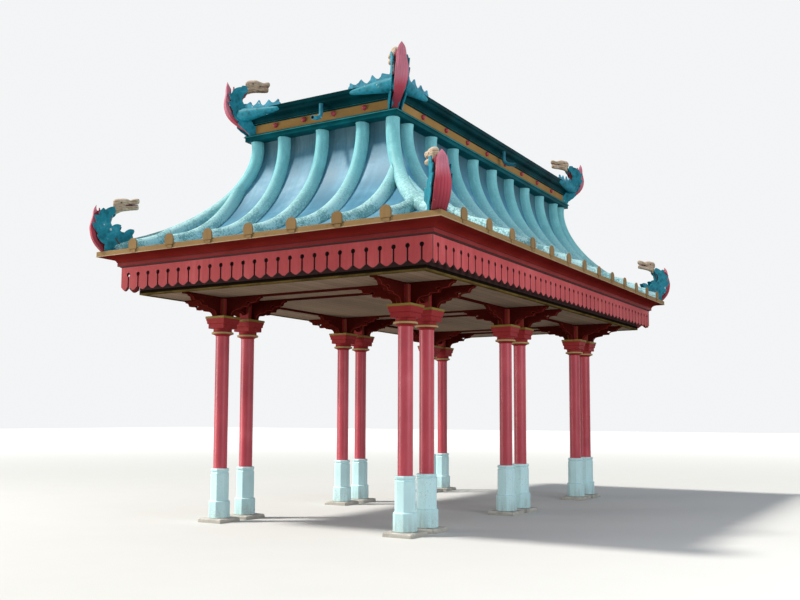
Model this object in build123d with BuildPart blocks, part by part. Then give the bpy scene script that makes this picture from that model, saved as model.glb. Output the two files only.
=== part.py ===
from build123d import *
from math import cos, hypot, radians, sin, sqrt, tan
import os

os.makedirs("parts", exist_ok=True)

# Park pavilion in a Chinese manner, all sizes in millimetres
# X runs along the short side, Y along the long side, Z up, origin on the ground at the centre
# The front is the short side at -Y, the right is the long side at +X

# Column layout
bay = 2900  # between the centres of neighbouring pairs, along Y
row_gap = 2850  # between the two rows, along X
pair_gap = 520  # between the two columns of a pair

# Footing pads and plinths
pad_side = 400
pad_height = 55
plinth_base_flat = 270  # across the flats of the lower octagon
plinth_base_height = 212
plinth_shoulder = 18
plinth_flat = 232
plinth_height = 600  # from the pad to the cap ring
plinth_ring_height = 45

# Columns and capitals
shaft_diameter = 182
shaft_sides = 20
shaft_height = 1795
neck_sides = 8
flare_height = 26
fillet_diameter = 292
fillet_height = 28
neck_diameter = 248
neck_height = 43
block_foot_side = 273
block_foot_height = 42
block_side = 302
block_height = 34
band_side = 335
band_height = 54
post_side = 170
post_height = 238

# Brackets
arm_reach = 660
arm_width = 60
arm_tip = 15

# Ceiling
beam_width = 64
beam_depth = 22
ceiling_thickness = 20
soffit_setback = 178  # from the face of the valance in to the face of the soffit frame
soffit_thickness = 30
trim_thickness = 12
trim_height = 58
trim_lip = 46
trim_drop = 8

# Valance
valance_half_x = 2320  # outer faces
valance_half_y = 4140
valance_thickness = 22
valance_height = 302
valance_lift = 40  # tab tips above the underside of the ceiling
short_slot_pitch = 175.2
long_slot_pitch = 182.2
short_slot_count = 26
long_slot_count = 45
slot_width = 20
slot_rise = 208  # from the tab tips to the top of the hole
hole_side = 34
tab_rise = 42  # how far the point of a tab reaches below its shoulders

# Eave
crown_height = 130
crown_bead = 38
crown_reach = 210
crown_back = 30
eave_lap = 225  # from the face of the valance out to the edge of the eave
eave_height = 66
eave_base = 26
lip_thickness = 30
cap_width = 165
cap_height = 150
cap_lap = 21  # how far a cap laps over the face of the eave
cap_thickness = 15

# Swept roof
roof_run = 1380  # from the face of the frieze out to the edge of the eave
roof_rise = 1683
eave_seat = 43
upper_pull_in = 65
upper_pull_drop = 546
lower_pull_level = 269
roof_top_inset = 214  # top of the pans, in from the face of the frieze
roof_steps = 5  # straight lengths along the curve
pan_thickness = 30
rib_width = 168
rib_height = 125
short_rib_count = 7
long_rib_count = 13
short_pitch = 626
long_pitch = 642

# Upper fascia
cornice_reach = 55
cornice_height = 65
cornice_step = 28
frieze_height = 148
frieze_thickness = 40
stud_diameter = 56
stud_reach = 34
short_stud_pitch = 473
long_stud_pitch = 654
gutter_reach = 135
gutter_height = 185
gutter_back = 60
gutter_wall = 14
spout_diameter = 56
spout_reach = 100  # upright part, from the face of the frieze
spout_end_reach = 285
spout_end_drop = 150  # below the gutter
short_spout_shift = 150  # off the middle of the side
long_spout_shift = 80
top_roof_slope = 17
top_roof_thickness = 30

# Levels
plinth_top = pad_height + plinth_height + plinth_ring_height
shaft_top = plinth_top + shaft_height
block_bottom = shaft_top + flare_height + fillet_height + neck_height
band_bottom = block_bottom + block_foot_height + block_height
band_top = band_bottom + band_height
post_top = band_top + post_height
ceiling_level = post_top + beam_depth
valance_bottom = ceiling_level + valance_lift
valance_top = valance_bottom + valance_height
crown_top = valance_top + crown_height
eave_top = crown_top + eave_height

# Plan sizes worked out from the valance outwards and inwards
eave_half_x = valance_half_x + eave_lap
eave_half_y = valance_half_y + eave_lap
soffit_half_x = valance_half_x - soffit_setback
soffit_half_y = valance_half_y - soffit_setback
frieze_half_x = eave_half_x - roof_run
frieze_half_y = eave_half_y - roof_run

sides = {"left": -1, "right": 1}
places = {"front": -1, "middle": 0, "back": 1}


def pair_points(side, place):
    """Axes of the two columns of one pair."""
    x = side * row_gap / 2
    y = place * bay
    return [(x, y - pair_gap / 2), (x, y + pair_gap / 2)]


def row_points(side):
    """Axes of the six columns of one row."""
    return [point for place in places.values() for point in pair_points(side, place)]


def save(piece, label):
    """Name one finished piece and write it as a STEP file."""
    piece.part.label = label
    export_step(piece.part, "parts/" + label + ".step")


def polygon(count, radius, level, turn=0):
    """Corners of a regular polygon at one level."""
    angles = [radians(360 * i / count + turn) for i in range(count)]
    return [(radius * cos(angle), radius * sin(angle), level) for angle in angles]


def faceted(rings):
    """A solid with flat faces between neighbouring rings of corners, closed at both ends."""
    faces = [Face(Wire.make_polygon(rings[0])), Face(Wire.make_polygon(rings[-1]))]
    for ring, upper in zip(rings, rings[1:]):
        for i in range(len(ring)):
            j = (i + 1) % len(ring)
            faces.append(Face(Wire.make_polygon([ring[i], ring[j], upper[j], upper[i]])))
    return Solid(Shell(faces))


# Footing pads
with BuildPart() as footing_pads:
    with Locations([(x, y, 0) for x, y in row_points(-1) + row_points(1)]):
        Box(pad_side, pad_side, pad_height, align=(Align.CENTER, Align.CENTER, Align.MIN))
save(footing_pads, "footing_pads")


# Plinths
def octagon(flat, level):
    """Corners of an octagon whose flats are square to the sides, at one level."""
    return polygon(8, flat / 2 / cos(radians(22.5)), level, 22.5)


shoulder_level = pad_height + plinth_base_height
plinth = faceted(
    [
        octagon(plinth_base_flat, pad_height),
        octagon(plinth_base_flat, shoulder_level),
        octagon(plinth_flat, shoulder_level + plinth_shoulder),
        octagon(plinth_flat, plinth_top),
    ]
)
for side_name, side in sides.items():
    with BuildPart() as plinths:
        with Locations([(x, y, 0) for x, y in row_points(side)]):
            add(plinth)
    save(plinths, side_name + "_plinths")


# Column shafts, one node to a pair
for side_name, side in sides.items():
    for place_name, place in places.items():
        with BuildPart() as columns:
            with BuildSketch(Plane.XY.offset(plinth_top)):
                with Locations(pair_points(side, place)):
                    RegularPolygon(shaft_diameter / 2, shaft_sides)
            extrude(amount=shaft_height)
        save(columns, place_name + "_" + side_name + "_columns")


# Capitals with the square posts above them
flare = faceted(
    [
        polygon(neck_sides, shaft_diameter / 2, shaft_top),
        polygon(neck_sides, fillet_diameter / 2, shaft_top + flare_height),
        polygon(neck_sides, fillet_diameter / 2, shaft_top + flare_height + fillet_height),
    ]
)
with BuildPart() as capital:
    add(flare)
    with BuildSketch(Plane.XY.offset(shaft_top + flare_height + fillet_height)):
        RegularPolygon(neck_diameter / 2, neck_sides)
    extrude(amount=neck_height)
    with BuildSketch(Plane.XY.offset(block_bottom)):
        Rectangle(block_foot_side, block_foot_side)
    extrude(amount=block_foot_height)
    with BuildSketch(Plane.XY.offset(block_bottom + block_foot_height)):
        Rectangle(block_side, block_side)
    extrude(amount=block_height)
    with BuildSketch(Plane.XY.offset(band_bottom)):
        Rectangle(band_side, band_side)
    extrude(amount=band_height)
    with BuildSketch(Plane.XY.offset(band_top)):
        Rectangle(post_side, post_side)
    extrude(amount=post_height)

for side_name, side in sides.items():
    with BuildPart() as capitals:
        with Locations([(x, y, 0) for x, y in row_points(side)]):
            add(capital.part)
    save(capitals, side_name + "_capitals")


# Bracket arms: stepped boards that stand on the band and reach out under the beams
arm_rise = post_height
with BuildPart() as arm:
    with BuildSketch(Plane.XZ):
        with BuildLine():
            Polyline(
                (post_side / 2, band_top),
                (band_side / 2, band_top),
                (band_side / 2 + 0.12 * arm_reach, band_top + 0.38 * arm_rise),
                (0.70 * arm_reach, band_top + 0.48 * arm_rise),
                (0.75 * arm_reach, band_top + 0.68 * arm_rise),
                (0.90 * arm_reach, band_top + 0.76 * arm_rise),
                (arm_reach, post_top - arm_tip),
                (arm_reach, post_top),
                (post_side / 2, post_top),
                close=True,
            )
        make_face()
    extrude(amount=arm_width / 2, both=True)

# Short arch between the two posts of a pair
arch_half = (pair_gap - post_side) / 2
with BuildPart() as arch:
    with BuildSketch(Plane.YZ):
        with BuildLine():
            Polyline(
                (-arch_half, band_top + 0.30 * arm_rise),
                (-0.45 * arch_half, band_top + 0.48 * arm_rise),
                (0.45 * arch_half, band_top + 0.48 * arm_rise),
                (arch_half, band_top + 0.30 * arm_rise),
                (arch_half, post_top),
                (-arch_half, post_top),
                close=True,
            )
        make_face()
    extrude(amount=arm_width / 2, both=True)

for side_name, side in sides.items():
    for place_name, place in places.items():
        near, far = pair_points(side, place)
        with BuildPart() as brackets:
            for x, y in (near, far):
                with Locations(Location((x, y, 0), (0, 0, 0)), Location((x, y, 0), (0, 0, 180))):
                    add(arm.part)
            with Locations(Location((near[0], near[1], 0), (0, 0, -90))):
                add(arm.part)
            with Locations(Location((far[0], far[1], 0), (0, 0, 90))):
                add(arm.part)
            with Locations((near[0], (near[1] + far[1]) / 2, 0)):
                add(arch.part)
        save(brackets, place_name + "_" + side_name + "_brackets")


# Ceiling beams on the column lines, joined where they cross
with BuildPart() as ceiling_beams:
    with BuildSketch(Plane.XY.offset(post_top)):
        with Locations([(side * row_gap / 2, 0) for side in sides.values()]):
            Rectangle(beam_width, 2 * (soffit_half_y - trim_lip))
        with Locations([(0, y) for x, y in row_points(1)]):
            Rectangle(2 * (soffit_half_x - trim_lip), beam_width)
    extrude(amount=beam_depth)
save(ceiling_beams, "ceiling_beams")

with BuildPart() as ceiling_boards:
    with BuildSketch(Plane.XY.offset(ceiling_level)):
        Rectangle(2 * soffit_half_x, 2 * soffit_half_y)
    extrude(amount=ceiling_thickness)
save(ceiling_boards, "ceiling_boards")


def rectangle_ring(level, half_x, half_y, width):
    """The face of a rectangular ring, measured to its outer edges."""
    with BuildSketch(Plane.XY.offset(level)) as sketch:
        Rectangle(2 * half_x, 2 * half_y)
        Rectangle(2 * (half_x - width), 2 * (half_y - width), mode=Mode.SUBTRACT)
    return sketch.sketch


# Trim round the edge of the ceiling: a board and a lip that covers the ends of the ceiling boards
trim_half_x = soffit_half_x + trim_thickness
trim_half_y = soffit_half_y + trim_thickness
trim_bottom = ceiling_level - trim_drop
with BuildPart() as ceiling_trim:
    board = rectangle_ring(trim_bottom, trim_half_x, trim_half_y, trim_thickness)
    extrude(board, amount=trim_height)
    lip = rectangle_ring(trim_bottom, trim_half_x, trim_half_y, trim_thickness + trim_lip)
    extrude(lip, amount=trim_drop)
save(ceiling_trim, "ceiling_trim")

# Boards that stand on the ceiling and close the space under the eave
with BuildPart() as soffit_frame:
    frame_bottom = ceiling_level + ceiling_thickness
    boards = rectangle_ring(frame_bottom, soffit_half_x, soffit_half_y, soffit_thickness)
    extrude(boards, amount=crown_top - frame_bottom)
save(soffit_frame, "soffit_frame")


# Valance boards with keyhole slots between their tabs
with BuildSketch() as slot:
    with BuildLine():
        Polyline(
            (-slot_width / 2 - tab_rise, 0),
            (-slot_width / 2, tab_rise),
            (-hole_side / 2, slot_rise),
            (hole_side / 2, slot_rise),
            (slot_width / 2, tab_rise),
            (slot_width / 2 + tab_rise, 0),
            close=True,
        )
    make_face()


def valance_board(length, count, pitch, thickness):
    """One valance board with its outer face at Y = 0 and its tabs downwards."""
    with BuildPart() as board:
        with BuildSketch(Plane.XZ):
            with Locations((0, (valance_bottom + valance_top) / 2)):
                Rectangle(length, valance_height)
            with Locations([((i - (count - 1) / 2) * pitch, valance_bottom) for i in range(count)]):
                add(slot.sketch, mode=Mode.SUBTRACT)
        extrude(amount=-thickness)
    return board


short_board = valance_board(2 * valance_half_x, short_slot_count, short_slot_pitch, valance_thickness)
long_board = valance_board(
    2 * (valance_half_y - valance_thickness), long_slot_count, long_slot_pitch, valance_thickness
)
for label, board, place in (
    ("front_valance", short_board, Location((0, -valance_half_y, 0))),
    ("back_valance", short_board, Location((0, valance_half_y, 0), (0, 0, 180))),
    ("right_valance", long_board, Location((valance_half_x, 0, 0), (0, 0, 90))),
    ("left_valance", long_board, Location((-valance_half_x, 0, 0), (0, 0, -90))),
):
    with BuildPart() as valance:
        with Locations(place):
            add(board.part)
    save(valance, label)


# Mouldings that run round a rectangle with mitred corners
def mitred_ring(half_x, half_y, profile, back):
    """A ring whose outer profile is a list of (reach, level) points, cut straight at the back."""
    rings = []
    for reach, level in profile:
        x, y = half_x + reach, half_y + reach
        rings.append([(-x, -y, level), (x, -y, level), (x, y, level), (-x, y, level)])
    bottom, top = profile[0][1], profile[-1][1]
    with BuildPart() as ring:
        add(faceted(rings))
        with Locations((0, 0, (bottom + top) / 2)):
            Box(2 * (half_x - back), 2 * (half_y - back), top - bottom + 2, mode=Mode.SUBTRACT)
    return ring


# Crown moulding over the valance: a bead, then a cove that reaches out under the eave
crown_profile = [
    (crown_bead, valance_top),
    (crown_bead, valance_top + 0.28 * crown_height),
    (crown_bead + 8, valance_top + 0.36 * crown_height),
    (0.28 * crown_reach, valance_top + 0.62 * crown_height),
    (0.46 * crown_reach, valance_top + 0.82 * crown_height),
    (0.72 * crown_reach, valance_top + 0.95 * crown_height),
    (crown_reach, crown_top),
]
crown_moulding = mitred_ring(valance_half_x, valance_half_y, crown_profile, crown_back)
save(crown_moulding, "crown_moulding")

# Eave frame: a flat board with an upright lip at its outer edge
eave_width = eave_half_x - soffit_half_x + soffit_thickness
with BuildPart() as eave_frame:
    base = rectangle_ring(crown_top, eave_half_x, eave_half_y, eave_width)
    extrude(base, amount=eave_base)
    lip = rectangle_ring(crown_top, eave_half_x, eave_half_y, lip_thickness)
    extrude(lip, amount=eave_height)
save(eave_frame, "eave_frame")


# The swept curve of the roof: distance out from the face of the frieze, and level
cornice_bottom = crown_top + roof_rise
cornice_top = cornice_bottom + cornice_height
curve_points = [
    (-roof_top_inset, cornice_top - 5),
    (-roof_top_inset - upper_pull_in, cornice_top - upper_pull_drop),
    (0.232 * roof_run, crown_top + lower_pull_level),
    (roof_run, crown_top + eave_seat),
]


def curve_point(t):
    """A point of the swept curve, from its top at t = 0 to the eave at t = 1."""
    weights = [(1 - t) ** 3, 3 * t * (1 - t) ** 2, 3 * t**2 * (1 - t), t**3]
    return tuple(sum(w * point[i] for w, point in zip(weights, curve_points)) for i in (0, 1))


stations = [curve_point(i / roof_steps) for i in range(roof_steps + 1)]
last, end = stations[-2:]
stations[-1] = (end[0] + 0.15 * (end[0] - last[0]), end[1] + 0.15 * (end[1] - last[1]))


def band(depth):
    """Outline of the roof between its upper face and a face some depth below."""
    under = []
    for i, (reach, level) in enumerate(stations):
        before = stations[max(i - 1, 0)]
        after = stations[min(i + 1, len(stations) - 1)]
        run, drop = after[0] - before[0], before[1] - after[1]
        length = hypot(run, drop)
        under.append((reach - depth * drop / length, level - depth * run / length))
    return stations + under[::-1]


def face(points):
    """A flat face from a list of points."""
    with BuildSketch() as sketch:
        with BuildLine():
            Polyline(*points, close=True)
        make_face()
    return sketch.sketch


def wedge(half_out, half_along, margin):
    """The space between the two hips of a slope that faces +X."""
    inner, outer = -0.5 * frieze_half_x, roof_run + 100
    with BuildPart() as space:
        with BuildSketch():
            with BuildLine():
                Polyline(
                    (half_out + inner, -(half_along + inner - margin)),
                    (half_out + outer, -(half_along + outer - margin)),
                    (half_out + outer, half_along + outer - margin),
                    (half_out + inner, half_along + inner - margin),
                    close=True,
                )
            make_face()
        extrude(amount=cornice_top + 100)
    return space.part


seat_level = crown_top + eave_base
pan_clip = [
    (-0.6 * frieze_half_x, seat_level),
    (roof_run - lip_thickness, seat_level),
    (roof_run - lip_thickness, cornice_bottom),
    (-0.6 * frieze_half_x, cornice_bottom),
]
rib_clip = [
    (-0.6 * frieze_half_x, seat_level),
    (roof_run - lip_thickness, seat_level),
    (roof_run - lip_thickness, eave_top),
    (roof_run, eave_top),
    (roof_run, cornice_bottom),
    (-0.6 * frieze_half_x, cornice_bottom),
]


def run_along(points, half_out, half_along):
    """A profile of (reach, level) points run along a slope that faces +X."""
    with BuildPart() as prism:
        with BuildSketch(Plane.XZ):
            with Locations((half_out, 0)):
                add(face(points))
        extrude(amount=half_along + roof_run + 200, both=True)
    return prism.part


def roof_pan(half_out, half_along, depth):
    """The sheet of one slope that faces +X."""
    with BuildPart() as pan:
        add(run_along(band(depth), half_out, half_along))
        add(run_along(pan_clip, half_out, half_along), mode=Mode.INTERSECT)
        add(wedge(half_out, half_along, 0), mode=Mode.INTERSECT)
    return pan.part


# Rib template: a rounded section swept down the curve, its flat side on the pan
def rolled(path_points, across, section):
    """A section swept down a line of straight lengths with mitred joints."""
    start, after = Vector(*path_points[0]), Vector(*path_points[1])
    with BuildPart() as roll:
        with BuildLine():
            Polyline(*path_points)
        with BuildSketch(Plane(origin=start, x_dir=across, z_dir=after - start)):
            with BuildLine():
                Polyline(*section, close=True)
            make_face()
        sweep(transition=Transition.RIGHT)
    return roll.part


half_rib = rib_width / 2
rib_section = [
    (-half_rib, 0),
    (-0.78 * half_rib, 0.70 * rib_height),
    (0, rib_height),
    (0.78 * half_rib, 0.70 * rib_height),
    (half_rib, 0),
]
rib_path = [(reach, 0, level) for reach, level in stations]
rib_roll = rolled(rib_path, (0, 1, 0), rib_section)

hip_half = half_rib
hip_lift = rib_height - hip_half
hip_margin = hip_half * sqrt(2)


def slope_ribs(half_out, half_along, count, pitch):
    """Full ribs and the shorter ones that stop against the hip rolls, for a slope facing +X."""
    offsets = [(i - (count - 1) / 2) * pitch for i in range(count)]
    with BuildPart() as ribs:
        with Locations([(half_out, y, 0) for y in offsets]):
            add(rib_roll)
        add(run_along(rib_clip, half_out, half_along), mode=Mode.INTERSECT)
        add(wedge(half_out, half_along, hip_margin), mode=Mode.INTERSECT)
    return ribs.part


long_pan = roof_pan(frieze_half_x, frieze_half_y, pan_thickness)
short_pan = roof_pan(frieze_half_y, frieze_half_x, pan_thickness)
long_core = roof_pan(frieze_half_x, frieze_half_y, 5 * pan_thickness)
short_core = roof_pan(frieze_half_y, frieze_half_x, 5 * pan_thickness)
long_ribs = slope_ribs(frieze_half_x, frieze_half_y, long_rib_count, long_pitch)
short_ribs = slope_ribs(frieze_half_y, frieze_half_x, short_rib_count, short_pitch)
for side_name, turn, pan, ribs in (
    ("front", -90, short_pan, short_ribs),
    ("right", 0, long_pan, long_ribs),
    ("back", 90, short_pan, short_ribs),
    ("left", 180, long_pan, long_ribs),
):
    with BuildPart() as roof_side:
        with Locations(Location((0, 0, 0), (0, 0, turn))):
            add(pan)
    save(roof_side, side_name + "_roof_pan")
    with BuildPart() as rib_side:
        with Locations(Location((0, 0, 0), (0, 0, turn))):
            add(ribs)
    save(rib_side, side_name + "_roof_ribs")

# Hip rolls over the four mitres, hollowed to fit the pans
hip_section = []
for i in range(8):
    angle = radians(45 * i + 22.5)
    hip_section.append((hip_half * cos(angle), hip_lift + hip_half * sin(angle)))
hip_path = [(frieze_half_x + reach, frieze_half_y + reach, level) for reach, level in stations]
with BuildPart() as hip_roll:
    add(rolled(hip_path, (-1, 1, 0), hip_section))
    add(long_core, mode=Mode.SUBTRACT)
    with Locations(Location((0, 0, 0), (0, 0, 90))):
        add(short_core, mode=Mode.SUBTRACT)
    hip_room = (eave_half_x - lip_thickness, eave_half_y - lip_thickness, cornice_bottom - seat_level)
    with Locations((hip_room[0] / 2, hip_room[1] / 2, (cornice_bottom + seat_level) / 2)):
        Box(*hip_room, mode=Mode.INTERSECT)
with BuildPart() as hip_rolls:
    add(hip_roll.part)
    mirror(hip_roll.part, about=Plane.YZ)
    mirror(hip_roll.part, about=Plane.XZ)
    mirror(mirror(hip_roll.part, about=Plane.YZ, mode=Mode.PRIVATE), about=Plane.XZ)
save(hip_rolls, "hip_rolls")

# Rounded end plates that close the ribs at the eave
cap_bottom = eave_top - cap_lap
with BuildPart() as cap:
    with BuildSketch(Plane.YZ):
        with BuildLine():
            Polyline(
                (-cap_width / 2, cap_bottom),
                (cap_width / 2, cap_bottom),
                (cap_width / 2, cap_bottom + 0.6 * cap_height),
                (0.27 * cap_width, cap_bottom + cap_height),
                (-0.27 * cap_width, cap_bottom + cap_height),
                (-cap_width / 2, cap_bottom + 0.6 * cap_height),
                close=True,
            )
        make_face()
    extrude(amount=cap_thickness)
short_offsets = [(i - (short_rib_count - 1) / 2) * short_pitch for i in range(short_rib_count)]
long_offsets = [(i - (long_rib_count - 1) / 2) * long_pitch for i in range(long_rib_count)]
with BuildPart() as rib_end_caps:
    for turn, half_out, offsets in (
        (0, eave_half_x, long_offsets),
        (90, eave_half_y, short_offsets),
        (180, eave_half_x, long_offsets),
        (270, eave_half_y, short_offsets),
    ):
        for y in offsets:
            spot = Location((0, 0, 0), (0, 0, turn)) * Location((half_out, y, 0))
            with Locations(spot):
                add(cap.part)
save(rib_end_caps, "rib_end_caps")


# Upper fascia: cornice, frieze board, studs and gutter
cornice_profile = [
    (10, cornice_bottom),
    (10, cornice_bottom + 0.2 * cornice_height),
    (cornice_step, cornice_bottom + 0.2 * cornice_height + 1),
    (cornice_step, cornice_bottom + 0.4 * cornice_height),
    (cornice_reach, cornice_bottom + 0.4 * cornice_height + 1),
    (cornice_reach, cornice_top),
]
lower_cornice = mitred_ring(frieze_half_x, frieze_half_y, cornice_profile, 330)
save(lower_cornice, "lower_cornice")

frieze_top = cornice_top + frieze_height
gutter_top = frieze_top + gutter_height
gutter_profile = [
    (20, frieze_top),
    (0.20 * gutter_reach, frieze_top + 0.12 * gutter_height),
    (0.75 * gutter_reach, frieze_top + 0.45 * gutter_height),
    (gutter_reach, frieze_top + 0.72 * gutter_height),
    (gutter_reach, gutter_top),
]
gutter_body = mitred_ring(frieze_half_x, frieze_half_y, gutter_profile, gutter_back)
trough_profile = [
    (0.20 * gutter_reach, frieze_top + 0.30 * gutter_height),
    (gutter_reach - gutter_wall, frieze_top + 0.82 * gutter_height),
    (gutter_reach - gutter_wall, gutter_top + 10),
]
trough = mitred_ring(frieze_half_x, frieze_half_y, trough_profile, 30)


# Dragons: outlines in the upright plane through a corner, distance inwards and level
dragon_width = 250  # across the front edges of the sides
dragon_taper = 0.12  # how fast each side closes in towards the back
upper_front = -300  # front edge of the sides, from the corner inwards
lower_front = -80
sheet_setback = 50  # sides of the body behind the front of the belly
head_width = 100

# Belly stations: distance inwards, level, half width
upper_belly = [
    (-4, cornice_top + 25, 50),
    (-145, cornice_top + 156, 85),
    (-233, cornice_top + 244, 93),
    (-321, cornice_top + 455, 95),
    (-309, cornice_top + 600, 75),
    (-270, cornice_top + 720, 8),
]
upper_back = [
    (-209, cornice_top + 678),
    (-108, cornice_top + 721),
    (-41, cornice_top + 741),
    (-27, cornice_top + 633),
    (-87, cornice_top + 558),
    (-80, cornice_top + 504),
    (-12, cornice_top + 483),
    (118, cornice_top + 218),
    (105, cornice_top),
]
upper_head = [
    (-108, cornice_top + 721),
    (-42, cornice_top + 803),
    (134, cornice_top + 820),
    (271, cornice_top + 798),
    (271, cornice_top + 743),
    (149, cornice_top + 730),
    (258, cornice_top + 686),
    (-13, cornice_top + 641),
    (-60, cornice_top + 641),
]
lower_belly = [
    (52, crown_top + 82, 85),
    (-36, crown_top + 143, 90),
    (-105, crown_top + 258, 97),
    (-131, crown_top + 387, 95),
    (-96, crown_top + 585, 75),
    (-62, crown_top + 679, 8),
]
lower_back = [
    (-9, crown_top + 604),
    (59, crown_top + 647),
    (171, crown_top + 680),
    (184, crown_top + 608),
    (128, crown_top + 546),
    (123, crown_top + 467),
    (161, crown_top + 416),
    (236, crown_top + 446),
    (262, crown_top + 369),
    (400, crown_top + 389),
    (433, crown_top + 299),
    (377, crown_top + 177),
    (377, seat_level),
]
lower_head = [
    (59, crown_top + 647),
    (157, crown_top + 771),
    (283, crown_top + 772),
    (485, crown_top + 792),
    (470, crown_top + 745),
    (334, crown_top + 703),
    (461, crown_top + 684),
    (184, crown_top + 602),
    (120, crown_top + 602),
]


def tapered(half_x, half_y, front):
    """A tall block between the sides of a dragon, which close in towards its back."""
    plan = Plane(origin=(half_x, -half_y, 0), x_dir=(-1, 1, 0), z_dir=(0, 0, 1))
    near, far = front - 100, front + 700
    with BuildPart() as block:
        with BuildSketch(plan):
            half_near = dragon_width / 2 + 100 * dragon_taper
            half_far = dragon_width / 2 - 700 * dragon_taper
            add(face([(near, -half_near), (near, half_near), (far, half_far), (far, -half_far)]))
        extrude(amount=gutter_top + 1000)
    return block.part


def dragon(half_x, half_y, foot_level, front, belly, back, head):
    """Body, rounded belly and head of one dragon, on the front right corner."""
    side_plane = Plane(origin=(half_x, -half_y, 0), x_dir=(-1, 1, 0), z_dir=(1, 1, 0))
    outline = [(belly[0][0], foot_level)]
    rings = []
    for reach, level, half in belly:
        depth = sheet_setback + 40 if half > 10 else 30
        if belly[0][1] < level and half > 10:
            outline.append((reach + sheet_setback, level))
        ring = [
            (reach, 0.4 * half),
            (reach, -0.4 * half),
            (reach + 0.3 * half, -half),
            (reach + depth, -half),
            (reach + depth, half),
            (reach + 0.3 * half, half),
        ]
        rings.append([side_plane.from_local_coords((s, level, across)) for s, across in ring])
    belly_body = faceted(rings)
    between_sides = tapered(half_x, half_y, front)
    with BuildPart() as body:
        with BuildSketch(side_plane):
            add(face(outline + back))
        extrude(amount=dragon_width, both=True)
        add(between_sides, mode=Mode.INTERSECT)
        add(belly_body)
        with BuildSketch(side_plane):
            add(face(head))
        extrude(amount=head_width / 2, both=True)
    return body.part


# Tails of the upper dragons: tapered rolls with teeth, laid along the front of the gutter
tail_reach = 118
tail_start = 30
tail_end = 700  # from the corner of the gutter
tail_radius = 72
tail_tip_radius = 32
tail_level = frieze_top + 0.73 * gutter_height
teeth = [(300, 118), (400, 88), (500, 76), (655, 44)]  # distance along, height over the gutter
tooth_thickness = 14


def tail(half_out, half_along):
    """The tail on the side facing +X, at the corner towards -Y, with its teeth."""
    corner = -(half_along + gutter_reach)
    axis = Plane(origin=(half_out + tail_reach, corner, tail_level), x_dir=(1, 0, 0), z_dir=(0, 1, 0))
    rings = []
    for distance, radius in ((tail_start, tail_radius), (tail_end, tail_tip_radius)):
        rings.append([axis.from_local_coords(point) for point in polygon(8, radius, distance, 22.5)])
    cone = faceted(rings)
    with BuildPart() as roll:
        add(cone)
        with BuildSketch(Plane.YZ.offset(half_out + gutter_reach)):
            for distance, height in teeth:
                with BuildLine():
                    Polyline(
                        (corner + distance - 50, tail_level),
                        (corner + distance + 30, tail_level),
                        (corner + distance, gutter_top + height),
                        close=True,
                    )
                make_face()
        extrude(amount=tooth_thickness)
    return roll.part


side_tail = tail(frieze_half_x, frieze_half_y)
front_tail = mirror(Rot(0, 0, -90) * tail(frieze_half_y, frieze_half_x), about=Plane.YZ)
with BuildPart() as tails:
    add(side_tail)
    add(front_tail)
    add(gutter_body.part, mode=Mode.SUBTRACT)
with BuildPart() as upper_dragon:
    add(dragon(frieze_half_x, frieze_half_y, cornice_top, upper_front, upper_belly, upper_back, upper_head))
    add(tails.part)

front_core = Rot(0, 0, -90) * short_core
with BuildPart() as lower_dragon:
    add(dragon(eave_half_x, eave_half_y, seat_level, lower_front, lower_belly, lower_back, lower_head))
    add(long_core, mode=Mode.SUBTRACT)
    add(front_core, mode=Mode.SUBTRACT)
    add(eave_frame.part, mode=Mode.SUBTRACT)
    add(hip_rolls.part, mode=Mode.SUBTRACT)

for level_name, piece in (("upper", upper_dragon.part), ("lower", lower_dragon.part)):
    left_piece = mirror(piece, about=Plane.YZ)
    for label, solid in (
        ("front_right", piece),
        ("front_left", left_piece),
        ("back_right", mirror(piece, about=Plane.XZ)),
        ("back_left", mirror(left_piece, about=Plane.XZ)),
    ):
        with BuildPart() as corner_dragon:
            add(solid)
        save(corner_dragon, label + "_" + level_name + "_dragon")


# Frieze boards and gutter, cut where the upper dragons stand
dragon_room = [
    (-400, cornice_top),
    (105, cornice_top),
    (118, cornice_top + 218),
    (-12, cornice_top + 483),
    (-400, cornice_top + 483),
]
upper_between_sides = tapered(frieze_half_x, frieze_half_y, upper_front)
with BuildPart() as corner_room:
    with BuildSketch(Plane(origin=(frieze_half_x, -frieze_half_y, 0), x_dir=(-1, 1, 0), z_dir=(1, 1, 0))):
        add(face(dragon_room))
    extrude(amount=dragon_width, both=True)
    add(upper_between_sides, mode=Mode.INTERSECT)
    mirror(about=Plane.YZ)
    mirror(about=Plane.XZ)

with BuildPart() as frieze:
    boards = rectangle_ring(cornice_top, frieze_half_x, frieze_half_y, frieze_thickness)
    extrude(boards, amount=frieze_height)
    add(corner_room.part, mode=Mode.SUBTRACT)
save(frieze, "frieze")

with BuildPart() as gutter:
    add(gutter_body.part)
    add(trough.part, mode=Mode.SUBTRACT)
    add(corner_room.part, mode=Mode.SUBTRACT)
save(gutter, "gutter")

stud_level = cornice_top + 0.56 * frieze_height
stud = faceted([polygon(6, stud_diameter / 2, 0), polygon(6, stud_diameter / 4, stud_reach)])
with BuildPart() as frieze_studs:
    for half_out, count, pitch, turns in (
        (frieze_half_y, 4, short_stud_pitch, (90, 270)),
        (frieze_half_x, 8, long_stud_pitch, (0, 180)),
    ):
        for turn in turns:
            for i in range(count):
                along = (i - (count - 1) / 2) * pitch
                spot = Rot(0, 0, turn) * Pos(half_out, along, stud_level) * Rot(0, 90, 0)
                with Locations(spot):
                    add(stud)
save(frieze_studs, "frieze_studs")

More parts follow.
